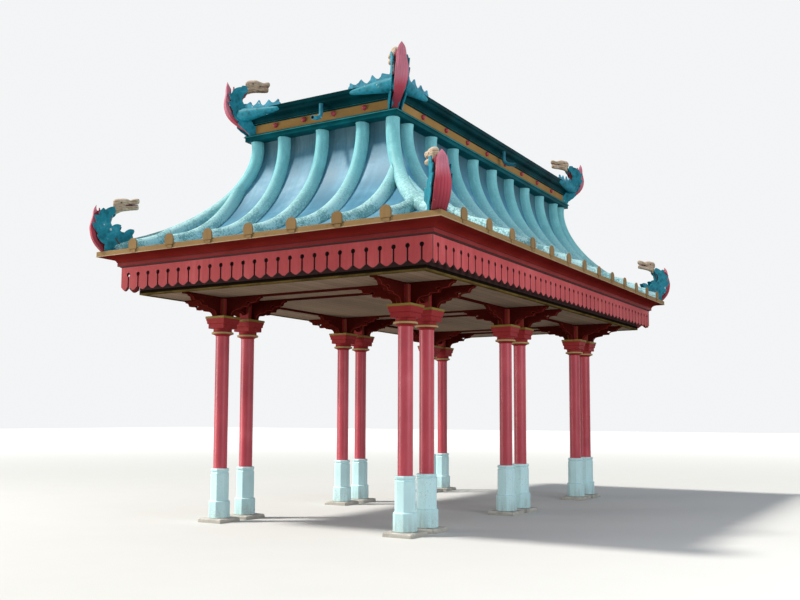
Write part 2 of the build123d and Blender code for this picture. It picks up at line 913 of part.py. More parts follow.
# Spouts under the gutter, one on each side
spout_path = [
    (spout_reach, 0, frieze_top + 0.4 * gutter_height),
    (spout_reach, 0, frieze_top - 5),
    (spout_end_reach, 0, frieze_top - spout_end_drop),
]
spout_section = []
for i in range(8):
    angle = radians(45 * i)
    spout_section.append((spout_diameter / 2 * cos(angle), spout_diameter / 2 * sin(angle)))
with BuildPart() as spout:
    add(rolled(spout_path, (0, 1, 0), spout_section))
with BuildPart() as gutter_spouts:
    for half_out, shift, turns in (
        (frieze_half_x, long_spout_shift, (0, 180)),
        (frieze_half_y, short_spout_shift, (90, 270)),
    ):
        for turn in turns:
            with Locations(Rot(0, 0, turn) * Pos(half_out, shift, 0)):
                add(spout.part)
    add(gutter_body.part, mode=Mode.SUBTRACT)
save(gutter_spouts, "gutter_spouts")


# Top roof: a low hipped shell on the back of the gutter
def hipped(half_x, half_y, level):
    """A solid hipped roof with equal slopes."""
    rise = half_x * tan(radians(top_roof_slope))
    with BuildPart() as block:
        with BuildSketch(Plane.XZ):
            add(face([(-half_x, level), (half_x, level), (0, level + rise)]))
        extrude(amount=half_y, both=True)
        with BuildSketch(Plane.YZ):
            ridge = half_y - half_x
            add(face([(-half_y, level), (half_y, level), (ridge, level + rise), (-ridge, level + rise)]))
        extrude(amount=half_x, both=True, mode=Mode.INTERSECT)
    return block.part


shell_step = top_roof_thickness / sin(radians(top_roof_slope))
with BuildPart() as top_roof:
    add(hipped(frieze_half_x - 32, frieze_half_y - 32, gutter_top))
    add(
        hipped(frieze_half_x - 32 - shell_step, frieze_half_y - 32 - shell_step, gutter_top),
        mode=Mode.SUBTRACT,
    )
    add(corner_room.part, mode=Mode.SUBTRACT)
save(top_roof, "top_roof")
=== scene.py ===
"""Visible pieces of a park pavilion with a swept ribbed roof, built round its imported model."""

import math

import bmesh
import bpy
import numpy as np
from mathutils import Matrix, Vector
from mathutils.geometry import tessellate_polygon


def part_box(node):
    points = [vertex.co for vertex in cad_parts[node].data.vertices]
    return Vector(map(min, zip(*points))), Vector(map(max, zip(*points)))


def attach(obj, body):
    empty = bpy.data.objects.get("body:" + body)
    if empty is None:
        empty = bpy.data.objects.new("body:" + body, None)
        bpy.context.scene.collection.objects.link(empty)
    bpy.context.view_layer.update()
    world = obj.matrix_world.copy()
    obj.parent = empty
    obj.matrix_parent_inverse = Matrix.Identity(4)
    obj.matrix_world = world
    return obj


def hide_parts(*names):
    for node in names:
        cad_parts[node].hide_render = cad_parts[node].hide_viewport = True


bl_info = {
    "name": "Park Pavilion",
    "version": (1, 0, 0),
    "blender": (4, 5, 0),
    "location": "View3D > Sidebar > Pavilion",
    "description": "Columns, cut valance, swept roof and dragons of an open park pavilion",
    "category": "Add Mesh",
}

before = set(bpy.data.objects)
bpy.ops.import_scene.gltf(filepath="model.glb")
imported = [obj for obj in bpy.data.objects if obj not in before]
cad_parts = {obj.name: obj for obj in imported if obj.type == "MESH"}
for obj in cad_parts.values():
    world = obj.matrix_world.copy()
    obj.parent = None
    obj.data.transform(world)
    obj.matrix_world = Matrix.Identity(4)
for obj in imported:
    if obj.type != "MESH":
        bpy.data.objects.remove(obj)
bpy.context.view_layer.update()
tau = 2 * math.pi


# Sizes and colours
def length(name, default, description):
    return bpy.props.FloatProperty(name=name, description=description, default=default, unit="LENGTH")


def colour(name, default, description):
    return bpy.props.FloatVectorProperty(
        name=name, description=description, default=default, size=3, min=0, max=1, subtype="COLOR"
    )


class ColumnSizes(bpy.types.PropertyGroup):
    bay: length("Bay", 2.900, "Between the centres of neighbouring pairs, along the long side")
    row_gap: length("Row gap", 2.850, "Between the two rows of columns")
    pair_gap: length("Pair gap", 0.520, "Between the two columns of a pair")
    pad_side: length("Pad side", 0.400, "Side of a concrete pad")
    pad_height: length("Pad height", 0.055, "Height of a concrete pad")
    plinth_base: length("Plinth base", 0.270, "Across the flats of the lower octagon")
    plinth_flat: length("Plinth", 0.232, "Across the flats of the upper octagon")
    shoulder: length("Shoulder level", 0.267, "Top of the lower octagon")
    plinth_top: length("Plinth top", 0.700, "Top of the plinth")
    shaft: length("Shaft diameter", 0.182, "Diameter of a column")
    shaft_top: length("Shaft top", 2.495, "Level where the capital starts")
    post_side: length("Post side", 0.170, "Side of the square post over a capital")
    post_top: length("Post top", 2.960, "Underside of the ceiling beams")
    arm_reach: length("Arm reach", 0.660, "Reach of a bracket arm from the post's axis")
    arm_width: length("Arm width", 0.060, "Thickness of a bracket board")


class EaveSizes(bpy.types.PropertyGroup):
    half_x: length("Valance half width", 2.320, "From the middle to the valance on the long side")
    half_y: length("Valance half length", 4.140, "From the middle to the valance on the short side")
    board: length("Valance thickness", 0.022, "Thickness of the valance boards")
    bottom: length("Valance bottom", 3.022, "Level of the tips of the tabs")
    top: length("Valance top", 3.324, "Level of the top of the valance")
    short_pitch: length("Short side tab pitch", 0.1752, "Between tabs on the short sides")
    long_pitch: length("Long side tab pitch", 0.1822, "Between tabs on the long sides")
    slot: length("Slot width", 0.021, "Width of the narrow slots")
    hole: length("Hole diameter", 0.056, "Diameter of the round holes over the slots")
    crown_top: length("Crown top", 3.454, "Level of the top of the crown moulding")
    lap: length("Eave lap", 0.225, "From the face of the valance out to the edge of the eave")
    eave_top: length("Eave top", 3.520, "Level of the top of the eave strip")
    cap_width: length("Cap width", 0.146, "Width of a plate that closes a rib")
    cap_height: length("Cap height", 0.140, "Height of a plate that closes a rib")
    cap_lap: length("Cap lap", 0.021, "How far a plate laps over the edge of the eave")


class RoofSizes(bpy.types.PropertyGroup):
    run: length("Run", 1.380, "From the face of the frieze out to the edge of the eave")
    rib_width: length("Rib width", 0.168, "Width of a roof rib")
    rib_height: length("Rib height", 0.125, "Height of a roof rib over the sheet")
    short_pitch: length("Short side rib pitch", 0.626, "Between ribs on the short sides")
    long_pitch: length("Long side rib pitch", 0.642, "Between ribs on the long sides")
    cornice_bottom: length("Cornice bottom", 5.137, "Underside of the cornice")
    cornice_top: length("Cornice top", 5.202, "Top of the cornice")
    frieze_top: length("Frieze top", 5.350, "Top of the frieze boards")
    gutter_top: length("Gutter top", 5.535, "Rim of the gutter")
    gutter_reach: length("Gutter reach", 0.135, "From the frieze out to the front of the gutter")
    stud: length("Stud diameter", 0.068, "Diameter of a ball on the frieze")
    short_stud_pitch: length("Short side stud pitch", 0.473, "Between balls on the short sides")
    long_stud_pitch: length("Long side stud pitch", 0.654, "Between balls on the long sides")
    shingle: length("Shingle exposure", 0.125, "Height of one course of shingles")


class DragonSizes(bpy.types.PropertyGroup):
    half_width: length("Half width", 0.125, "From the middle of a dragon to the front edge of a side board")
    taper: bpy.props.FloatProperty(
        name="Taper", default=0.12, description="How fast the sides close in to the back"
    )
    board: length("Side board", 0.014, "Thickness of the saw-toothed side boards")
    flute: length("Flute depth", 0.004, "Depth of the grooves along the belly")
    head: length("Head thickness", 0.100, "Thickness of the carved head")


class PavilionColours(bpy.types.PropertyGroup):
    plinth: colour("Plinth", (0.53, 0.79, 0.82), "Pale turquoise paint of the plinths")
    column: colour("Column", (0.50, 0.065, 0.09), "Red paint of the columns")
    bracket: colour("Bracket", (0.062, 0.006, 0.004), "Dark red paint of brackets and beams")
    valance: colour("Valance", (0.47, 0.072, 0.078), "Faded red paint of the valance")
    crown: colour("Cove", (0.16, 0.013, 0.010), "Deep red paint of the crown moulding")
    tan: colour("Tan", (0.28, 0.175, 0.075), "Tan paint of the eave strip, caps and frieze")
    gold: colour("Gold", (0.22, 0.16, 0.03), "Dull gold paint of the trim")
    rib: colour("Rib", (0.20, 0.58, 0.63), "Pale turquoise of the roof ribs")
    pan: colour("Sheet", (0.07, 0.27, 0.42), "Faded blue of the roof sheets")
    green: colour("Dark green", (0.001, 0.030, 0.036), "Dark green of cornice and gutter")
    scale: colour("Dragon blue", (0.005, 0.22, 0.30), "Blue of the dragons' side boards")
    belly: colour("Dragon belly", (0.46, 0.06, 0.09), "Red of the dragons' bellies")


# Shapes as arrays
class Form:
    """Points, faces of four corners (a triangle repeats its last), a flat chart in metres and finishes."""

    def __init__(self, points, faces, chart=None, finish=0):
        self.points = np.asarray(points, dtype=float).reshape(-1, 3)
        self.faces = np.asarray(faces, dtype=int).reshape(-1, 4)
        blank = np.zeros((len(self.points), 2))
        self.chart = blank if chart is None else np.asarray(chart, dtype=float).reshape(-1, 2)
        self.finish = np.broadcast_to(np.asarray(finish, dtype=int), len(self.faces)).copy()

    def changed(self, change):
        """The same faces on points that a function has moved."""
        return Form(change(self.points), self.faces, self.chart, self.finish)

    def scaled(self, x=1, y=1, z=1):
        return self.changed(lambda p: p * (x, y, z))

    def shifted(self, x=0, y=0, z=0):
        return self.changed(lambda p: p + (x, y, z))

    def turned(self, quarters):
        """Turned about the upright axis by quarter turns: (x, y) goes to (-y, x) each time."""
        c, s = ((1, 0), (0, 1), (-1, 0), (0, -1))[quarters % 4]
        turn = np.array([[c, s, 0], [-s, c, 0], [0, 0, 1]])
        return self.changed(lambda p: p @ turn)


def joined(*forms):
    """One form of several, their faces renumbered."""
    starts = np.cumsum([0] + [len(f.points) for f in forms[:-1]])
    return Form(
        np.concatenate([f.points for f in forms]),
        np.concatenate([f.faces + s for f, s in zip(forms, starts)]),
        np.concatenate([f.chart for f in forms]),
        np.concatenate([f.finish for f in forms]),
    )


def cloth(points, chart=None, finish=0):
    """Four-cornered faces over a grid of points with rows and columns."""
    rows, columns = points.shape[:2]
    n = np.arange(rows * columns).reshape(rows, columns)
    faces = np.stack([n[:-1, :-1], n[:-1, 1:], n[1:, 1:], n[1:, :-1]], axis=-1)
    finish = np.repeat(finish, columns - 1) if np.ndim(finish) else finish
    return Form(points, faces, chart, finish)


def lid(ring, finish=0):
    """Triangles from the middle of a ring to its edges."""
    n = len(ring)
    i = np.arange(n)
    faces = np.stack([i, (i + 1) % n, np.full(n, n), np.full(n, n)], axis=-1)
    return Form(np.vstack([ring, ring.mean(axis=0)]), faces, None, finish)


def closed_tube(rings, chart=None, finish=0, ends=True):
    """Rings of points, one after another, each joined to itself, with both ends closed."""
    wrapped = np.concatenate([rings, rings[:, :1]], axis=1)
    skin = cloth(wrapped, chart, finish)
    first, last = (finish[0], finish[-1]) if np.ndim(finish) else (finish, finish)
    return joined(skin, lid(rings[0], first), lid(rings[-1], last)) if ends else skin


def thick(upper, lower, chart=None, finish=0):
    """A closed slab between two grids of the same size."""
    edges = [
        np.stack([upper[0], lower[0]]),
        np.stack([upper[-1], lower[-1]]),
        np.stack([upper[:, 0], lower[:, 0]]),
        np.stack([upper[:, -1], lower[:, -1]]),
    ]
    return joined(
        cloth(upper, chart, finish), cloth(lower, chart, finish), *[cloth(e, None, finish) for e in edges]
    )


def area(outline):
    """Signed area of a flat outline."""
    x, y = outline.T
    return 0.5 * np.sum(x * np.roll(y, -1) - y * np.roll(x, -1))


def inset(outline, depth):
    """Each corner moved along the middle of its two edges' normals, so that the edges move by depth."""
    ahead = np.roll(outline, -1, axis=0) - outline
    ahead /= np.linalg.norm(ahead, axis=1, keepdims=True)
    behind = np.roll(ahead, 1, axis=0)
    normal = np.stack([-ahead[:, 1], ahead[:, 0]], axis=1)
    before = np.stack([-behind[:, 1], behind[:, 0]], axis=1)
    share = 1 + np.sum(normal * before, axis=1, keepdims=True)
    return outline + depth * (normal + before) / np.maximum(share, 0.5)


def board(outline, thickness, bevel=0.002, holes=(), finish=0, edge=None, side=None):
    """A flat board cut to an outline in its first two axes, with narrow bevels and holes through it."""
    outlines = [np.asarray(o, dtype=float) for o in (outline, *holes)]
    for i, flat in enumerate(outlines):
        if (area(flat) > 0) != (i == 0):
            outlines[i] = flat[::-1]
    edge, side = (finish if other is None else other for other in (edge, side))
    forms, rims = [], [inset(o, bevel) for o in outlines]
    half = thickness / 2
    for flat, rim in zip(outlines, rims):
        levels = ((rim, -half), (flat, bevel - half), (flat, half - bevel), (rim, half))
        rings = np.stack([np.column_stack([o, np.full(len(o), z)]) for o, z in levels])
        forms.append(closed_tube(rings, None, [edge, side, edge], ends=False))
    corners = np.vstack(rims)
    triangles = np.array(tessellate_polygon([[Vector((*p, 0)) for p in rim] for rim in rims]))
    faces = np.column_stack([triangles, triangles[:, 2]])
    for z in (-half, half):
        forms.append(Form(np.column_stack([corners, np.full(len(corners), z)]), faces, corners, finish))
    return joined(*forms)


def standing(form, origin, across=(0, 1, 0), up=(0, 0, 1), out=(1, 0, 0)):
    """A form drawn in its own three axes, placed by a point and three directions; it faces +X by default."""
    axes = np.array([across, up, out], dtype=float)
    return form.changed(lambda p: p @ axes + np.asarray(origin, dtype=float))


def four_sides(half_x, half_y):
    """Name, quarter turns from +X, reach and half length of each side of a rectangle."""
    long, short = (half_x, half_y), (half_y, half_x)
    return [("right", 0, *long), ("back", 1, *short), ("left", 2, *long), ("front", 3, *short)]


def along_line(points):
    """Metres along a line of points, from its start."""
    return np.concatenate([[0], np.cumsum(np.linalg.norm(np.diff(points, axis=0), axis=1))])


def moulding(half_x, half_y, profile, finish=0):
    """A profile of reaches and levels carried round a rectangle with mitred corners, closed if it ends
    where it starts. The side facing +X is half_x + reach out and runs to half_y + reach either way."""
    profile = np.asarray(profile, dtype=float)
    reach, level = profile.T
    way = along_line(profile)
    sides = []
    for _, quarter, out, along in four_sides(half_x, half_y):
        end = along + reach
        grid = np.stack([np.stack([out + reach, s * end, level], axis=1) for s in (-1, 1)], axis=1)
        chart = np.stack([np.stack([s * end, way], axis=1) for s in (-1, 1)], axis=1)
        sides.append(cloth(grid, chart, finish).turned(quarter))
    return joined(*sides)


def arc(x, y, radius, start, end, steps):
    """Points on a part of a circle, angles in degrees."""
    a = np.radians(np.linspace(start, end, steps))
    return np.column_stack([x + radius * np.cos(a), y + radius * np.sin(a)])


def smooth_line(stations, steps):
    """A line through stations, each number eased by a Catmull-Rom curve."""
    p = np.asarray(stations, dtype=float)
    p = np.vstack([2 * p[0] - p[1], p, 2 * p[-1] - p[-2]])
    t = np.linspace(0, len(p) - 3, steps)
    i = np.minimum(t.astype(int), len(p) - 4)
    f = (t - i)[:, None]
    a, b, c, d = p[i], p[i + 1], p[i + 2], p[i + 3]
    return b + 0.5 * f * (c - a + f * (2 * a - 5 * b + 4 * c - d + f * (3 * (b - c) + d - a)))


def publish(name, form, finishes, nodes=(), angle=32):
    """Puts a form into a mesh, welds it, turns its faces outwards and hands it to the frame."""
    mesh = bpy.data.meshes.new(name)
    four = form.faces[:, 2] != form.faces[:, 3]
    used = np.ones((len(form.faces), 4), dtype=bool)
    used[:, 3] = four
    corners = form.faces[used].astype(np.int32)
    counts = np.where(four, 4, 3).astype(np.int32)
    starts = np.concatenate([[0], np.cumsum(counts)[:-1]]).astype(np.int32)
    mesh.vertices.add(len(form.points))
    mesh.vertices.foreach_set("co", form.points.astype(np.float32).ravel())
    mesh.loops.add(len(corners))
    mesh.loops.foreach_set("vertex_index", corners)
    mesh.polygons.add(len(counts))
    mesh.polygons.foreach_set("loop_start", starts)
    mesh.polygons.foreach_set("loop_total", counts)
    mesh.polygons.foreach_set("material_index", form.finish.astype(np.int32))
    mesh.update(calc_edges=True)
    layer = mesh.uv_layers.new(name="Chart")
    layer.uv.foreach_set("vector", form.chart[corners].astype(np.float32).ravel())
    shape = bmesh.new()
    shape.from_mesh(mesh)
    bmesh.ops.remove_doubles(shape, verts=shape.verts, dist=2e-5)
    bmesh.ops.dissolve_degenerate(shape, edges=shape.edges, dist=1e-6)
    bmesh.ops.recalc_face_normals(shape, faces=shape.faces)
    shape.to_mesh(mesh)
    shape.free()
    mesh.validate()
    mesh.shade_smooth()
    mesh.set_sharp_from_angle(angle=math.radians(angle))
    for finish in finishes:
        mesh.materials.append(finish)
    piece = bpy.data.objects.new(name, mesh)
    bpy.context.scene.collection.objects.link(piece)
    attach(piece, "root")
    if nodes:
        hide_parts(*nodes)
    return piece


def coat(node, finish):
    """Gives a node that stays as it is its finish."""
    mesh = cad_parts[node].data
    mesh.materials.clear()
    mesh.materials.append(finish)


# Finishes
class Value:
    """A socket that takes part in arithmetic."""

    def __init__(self, shade, socket):
        self.shade = shade
        self.socket = socket

    def sum(self, kind, *others):
        return self.shade.node("ShaderNodeMath", {"operation": kind}, [self, *others])[0]

    def __add__(self, other):
        return self.sum("ADD", other)

    def __sub__(self, other):
        return self.sum("SUBTRACT", other)

    def __mul__(self, other):
        return self.sum("MULTIPLY", other)

    def __rsub__(self, other):
        return self.shade.node("ShaderNodeMath", {"operation": "SUBTRACT"}, [other, self])[0]

    def __truediv__(self, other):
        return self.sum("DIVIDE", other)

    def __pow__(self, other):
        return self.sum("POWER", other)

    def above(self, low, high):
        """0 under low, 1 over high and a soft step between."""
        given = {"data_type": "FLOAT", "interpolation_type": "SMOOTHSTEP", "clamp": True}
        return self.shade.node("ShaderNodeMapRange", given, {"Value": self, 1: low, 2: high})[0]

    __radd__ = __add__


class Shade:
    """A material whose nodes are added one by one."""

    def __init__(self, name, **fixed):
        self.material = bpy.data.materials.new(name)
        self.material.use_nodes = True
        self.tree = self.material.node_tree
        self.surface = self.tree.nodes["Principled BSDF"]
        for socket, value in fixed.items():
            self.surface.inputs[socket.replace("_", " ")].default_value = value
        self.place = self.node("ShaderNodeTexCoord")[3]
        self.chart = self.node("ShaderNodeTexCoord")[2]

    def node(self, kind, given=None, inputs=()):
        """A node of one type: its settings first, then the values or links of its sockets."""
        made = self.tree.nodes.new(kind)
        for key, value in (given or {}).items():
            setattr(made, key, value)
        pairs = inputs.items() if isinstance(inputs, dict) else enumerate(inputs)
        for key, value in pairs:
            if isinstance(value, Value):
                self.tree.links.new(value.socket, made.inputs[key])
            else:
                made.inputs[key].default_value = value
        return [Value(self, out) for out in made.outputs]

    def stretched(self, place, x, y, z):
        return self.node("ShaderNodeMapping", {}, {"Vector": place, "Scale": (x, y, z)})[0]

    def noise(self, place, scale, detail=4.0, rough=0.55, warp=0.0):
        inputs = {"Vector": place, "Scale": scale, "Detail": detail, "Roughness": rough, "Distortion": warp}
        return self.node("ShaderNodeTexNoise", {}, inputs)[0]

    def cells(self, place, scale):
        return self.node("ShaderNodeTexVoronoi", {"feature": "F1"}, {"Vector": place, "Scale": scale})[0]

    def mixed(self, part, low, high):
        """One colour over another, by a part from 0 to 1."""
        given = {"data_type": "RGBA", "clamp_factor": True}
        low, high = ((*c, 1) if isinstance(c, tuple) else c for c in (low, high))
        return self.node("ShaderNodeMix", given, {0: part, 6: low, 7: high})[2]

    def axis(self, place, index):
        return self.node("ShaderNodeSeparateXYZ", {}, [place])[index]

    def facing_up(self):
        """How much a face looks upwards."""
        normal = self.node("ShaderNodeNewGeometry")[1]
        return self.axis(normal, 2)

    def finish(self, colour, rough, height=None, strength=0.3, distance=0.002):
        """Links the finished colour, roughness and relief to the surface."""
        self.tree.links.new(colour.socket, self.surface.inputs["Base Color"])
        self.tree.links.new(rough.socket, self.surface.inputs["Roughness"])
        if height is not None:
            inputs = {"Strength": strength, "Distance": distance, "Height": height}
            bump = self.node("ShaderNodeBump", {}, inputs)[0]
            self.tree.links.new(bump.socket, self.surface.inputs["Normal"])
        return self.material


def tint(colour, factor, lift=0.0):
    """A colour made darker or lighter, and paler by a lift."""
    return tuple(min(1.0, c * factor + lift) for c in colour)


def weathered_paint(name, base, grain, rough, dirt, fade, chips, under, gloss=0.25):
    """Old paint: broad fading, streaks along the grain, grime, small chips down to what is under it."""
    s = Shade(name, Specular_IOR_Level=gloss)
    streak = s.noise(s.stretched(s.place, *grain), 14.0, 6.0, 0.6)
    broad = s.noise(s.place, 1.7, 3.0, 0.5)
    fine = s.noise(s.place, 55.0, 4.0, 0.65)
    spots = s.noise(s.stretched(s.place, *grain), 38.0, 5.0, 0.7)
    bright = max(base)
    tone = (broad * 0.6 + streak * 0.5).above(0.35, 0.75)
    body = s.mixed(tone, tint(base, 0.86), tint(base, 1.10, 0.024 * bright))
    body = s.mixed((streak * broad).above(0.28, 0.42) * fade, body, tint(base, 1.12, 0.15 * bright))
    grime = (streak + fine * 0.35 - broad * 0.2).above(0.62, 0.88) * dirt
    body = s.mixed(grime, body, tint(base, 0.45))
    worn = (spots + fine * 0.25).above(0.80, 0.86) * chips * 4.0
    body = s.mixed(worn, body, under)
    shine = rough + (fine - 0.5) * 0.25 + grime * 0.15
    return s.finish(body, shine, streak * 0.6 + fine * 0.25 - worn * 0.5, 0.35, 0.0015)


def edged_trim(name, base, low, high):
    """A moulding whose upper part is painted nearly black as painted shade, with worn ochre paint along the
    lower edge.
    """
    s = Shade(name, Specular_IOR_Level=0.0)
    streak = s.noise(s.stretched(s.place, 0.3, 0.3, 1), 14.0, 6.0, 0.6)
    body = s.mixed(streak.above(0.35, 0.7), tint(base, 1.0), tint(base, 0.45))
    height = (s.axis(s.place, 2) - low) / (high - low)
    # Painted shade: everything above the lower edge of the trim is mixed to nearly black.
    body = s.mixed(height.above(0.30, 0.42), body, (0.010, 0.007, 0.005))
    return s.finish(body, 0.6 + streak * 0.1, streak, 0.3, 0.0015)


def concrete(name):
    """Rough cast concrete: sand grains, small pits, damp patches and moss by the ground."""
    s = Shade(name)
    broad = s.noise(s.place, 6.0, 5.0, 0.6)
    sand = s.noise(s.place, 160.0, 3.0, 0.7)
    pits = s.cells(s.place, 42.0).above(0.02, 0.18)
    body = s.mixed(broad.above(0.35, 0.7), (0.36, 0.34, 0.30), (0.60, 0.57, 0.52))
    body = s.mixed(sand.above(0.45, 0.75) * 0.5, body, (0.74, 0.71, 0.66))
    low = 1.0 - s.axis(s.place, 2).above(0.0, 0.05)
    body = s.mixed(low * broad.above(0.4, 0.7) * 0.6, body, (0.13, 0.14, 0.08))
    return s.finish(body, 0.88 + sand * 0.08, sand * 0.5 + pits * 0.6 + broad, 0.6, 0.004)


def plinth_paint(name, base):
    """Pale satin paint on wood: soft vertical streaks, grey grime low down, hairline cracks and chips."""
    s = Shade(name, Specular_IOR_Level=0.45)
    runs = s.noise(s.stretched(s.place, 1, 1, 0.12), 22.0, 5.0, 0.6)
    broad = s.noise(s.place, 3.0, 3.0, 0.5)
    fine = s.noise(s.place, 80.0, 4.0, 0.6)
    body = s.mixed(broad.above(0.3, 0.7), tint(base, 0.94), tint(base, 1.04, 0.03))
    body = s.mixed(runs.above(0.5, 0.8) * 0.45, body, tint(base, 0.78, 0.02))
    low = 1.0 - s.axis(s.place, 2).above(0.05, 0.30)
    body = s.mixed(low * (runs * 0.7 + fine * 0.5).above(0.45, 0.75) * 0.55, body, (0.30, 0.33, 0.30))
    chips = (fine + broad * 0.4).above(0.86, 0.90)
    body = s.mixed(chips * 0.7, body, (0.42, 0.36, 0.28))
    return s.finish(body, 0.38 + fine * 0.2 + low * 0.15, runs * 0.5 + fine * 0.3 - chips, 0.3, 0.0015)


def rib_metal(name, base):
    """Painted sheet rolls: chalky turquoise, patina that creeps up from the eave, fine drips, and a painted
    sunlit highlight that pales the lower part of each roll.
    """
    s = Shade(name, Specular_IOR_Level=0.25)
    down = s.stretched(s.chart, 1.0, 0.16, 1.0)
    drips = s.noise(down, 26.0, 6.0, 0.6)
    patches = s.noise(s.place, 3.2, 5.0, 0.62)
    speck = s.noise(s.place, 42.0, 5.0, 0.7)
    tone = (patches * 0.7 + drips * 0.3).above(0.38, 0.66)
    body = s.mixed(tone, tint(base, 0.82), tint(base, 1.08, 0.045))
    body = s.mixed(drips.above(0.52, 0.78) * 0.5, body, tint(base, 1.12, 0.12))
    low = 1.0 - s.axis(s.place, 2).above(3.55, 4.75)
    # Painted highlight: the flatter lower part of each roll is mixed towards pale turquoise as if lit by the
    # sun; the same low mask also feeds the patina.
    body = s.mixed(low * 0.85, body, (0.60, 0.88, 0.90))
    patina = (patches * 0.42 + speck * 0.48 + drips * 0.20).above(0.51, 0.60) * (0.16 + low * 0.62)
    body = s.mixed(patina, body, (0.10, 0.29, 0.30))
    scuffs = (speck * 0.6 + drips * 0.5).above(0.70, 0.76) * 0.5
    body = s.mixed(scuffs, body, (0.62, 0.72, 0.70))
    return s.finish(body, 0.42 + speck * 0.25 + patina * 0.2, speck * 0.3 + drips * 0.4, 0.3, 0.003)


def pan_metal(name, base):
    """Flat painted sheet: blue with cloudy whitish patches of faded paint and painted sun glint, a few faint
    runs down the slope, and a painted shadow with some grime under the cornice.
    """
    s = Shade(name, Specular_IOR_Level=0.3)
    down = s.stretched(s.chart, 1.0, 0.07, 1.0)
    runs = s.noise(down, 9.0, 6.0, 0.6)
    thin = s.noise(down, 34.0, 5.0, 0.6)
    cloud = s.noise(s.place, 1.9, 5.0, 0.6)
    speck = s.noise(s.place, 60.0, 4.0, 0.7)
    tone = (cloud * 0.7 + runs * 0.3).above(0.36, 0.64)
    body = s.mixed(tone, tint(base, 0.74), tint(base, 1.12, 0.02))
    # Whitish cloudy patches: partly faded paint, partly a painted sun glint.
    body = s.mixed((cloud * 0.75 + runs * 0.25).above(0.50, 0.68) * 0.65, body, (0.30, 0.48, 0.57))
    body = s.mixed((thin + cloud * 0.4).above(0.80, 0.94) * 0.3, body, (0.05, 0.12, 0.17))
    low = 1.0 - s.axis(s.place, 2).above(3.46, 3.95)
    body = s.mixed(low * (speck * 0.6 + cloud * 0.5).above(0.5, 0.7) * 0.5, body, (0.16, 0.25, 0.25))
    # Painted shadow of the cornice, with some grime: the top of each sheet is darkened towards a deep teal.
    cornice_shadow_and_grime = 1.0 - s.axis(s.chart, 1).above(0.05, 0.75)
    body = s.mixed(cornice_shadow_and_grime * (0.62 + thin * 0.5), body, (0.028, 0.085, 0.105))
    return s.finish(body, 0.34 + speck * 0.22 + cloud * 0.1, thin * 0.3 + cloud * 1.2, 0.25, 0.004)


def gloss_green(name, base):
    """Dark gloss paint with a dusty bloom on faces that look upwards and faint runs."""
    s = Shade(name, Specular_IOR_Level=0.015)
    broad = s.noise(s.place, 2.4, 4.0, 0.55)
    fine = s.noise(s.place, 50.0, 4.0, 0.65)
    body = s.mixed(broad.above(0.3, 0.7), tint(base, 0.75), tint(base, 1.4))
    dust = s.facing_up().above(0.3, 0.9) * (0.15 + broad * 0.3)
    body = s.mixed(dust, body, (0.04, 0.14, 0.14))
    body = s.mixed((fine + broad * 0.3).above(0.82, 0.90) * 0.25, body, (0.06, 0.18, 0.18))
    return s.finish(body, 0.30 + fine * 0.2 + dust * 0.3, fine * 0.3 + broad, 0.2, 0.002)


def planks(name, base, pitch, axis, gap=(0.02, 0.016, 0.013)):
    """Bare boards side by side: each a shade of its own, grain along them and a dark joint between."""
    s = Shade(name, Specular_IOR_Level=0.04)
    across = s.axis(s.place, axis) / pitch
    number = s.node("ShaderNodeMath", {"operation": "FLOOR"}, [across])[0]
    part = s.node("ShaderNodeMath", {"operation": "FRACT"}, [across])[0]
    own = s.node("ShaderNodeTexWhiteNoise", {"noise_dimensions": "1D"}, {"W": number})[0]
    scale = (0.06, 1, 1) if axis == 1 else (1, 0.06, 1)
    grain = s.noise(s.stretched(s.place, *scale), 60.0, 6.0, 0.6, 0.4)
    stain = s.noise(s.place, 1.1, 5.0, 0.6)
    body = s.mixed(own, tint(base, 0.86), tint(base, 1.12))
    body = s.mixed(grain.above(0.45, 0.75) * 0.35, body, tint(base, 0.62))
    body = s.mixed(stain.above(0.50, 0.72) * 0.35, body, tint(base, 0.55))
    joint = 1.0 - part.above(0.0, 0.035) * (1.0 - part.above(0.965, 1.0))
    body = s.mixed(joint * 0.8, body, gap)
    return s.finish(body, 0.75 + grain * 0.15, grain * 0.2 - joint * 1.5, 0.4, 0.004)


def shingles(name):
    """Asphalt shingles: tabs of mixed browns in courses, mineral grains and dark cutouts."""
    s = Shade(name)
    inputs = {"Vector": s.chart, "Color1": (0, 0, 0, 1), "Color2": (1, 1, 1, 1), "Scale": 1.0, "Bias": 0.0}
    inputs |= {"Mortar Size": 0.006, "Mortar Smooth": 0.1, "Brick Width": 0.30, "Row Height": 0.125}
    tabs = s.node("ShaderNodeTexBrick", {"offset": 0.5, "offset_frequency": 2}, inputs)
    grains = s.noise(s.place, 420.0, 2.0, 0.8)
    broad = s.noise(s.place, 2.0, 4.0, 0.6)
    body = s.mixed(tabs[0], (0.085, 0.060, 0.045), (0.150, 0.110, 0.080))
    body = s.mixed(grains.above(0.40, 0.70) * 0.45, body, (0.22, 0.18, 0.14))
    body = s.mixed(broad.above(0.5, 0.75) * 0.35, body, (0.050, 0.050, 0.038))
    body = s.mixed(tabs[1] * 0.85, body, (0.015, 0.012, 0.010))
    return s.finish(body, 0.90 + grains * 0.06, grains * 0.5 - tabs[1] * 2.0, 0.6, 0.003)


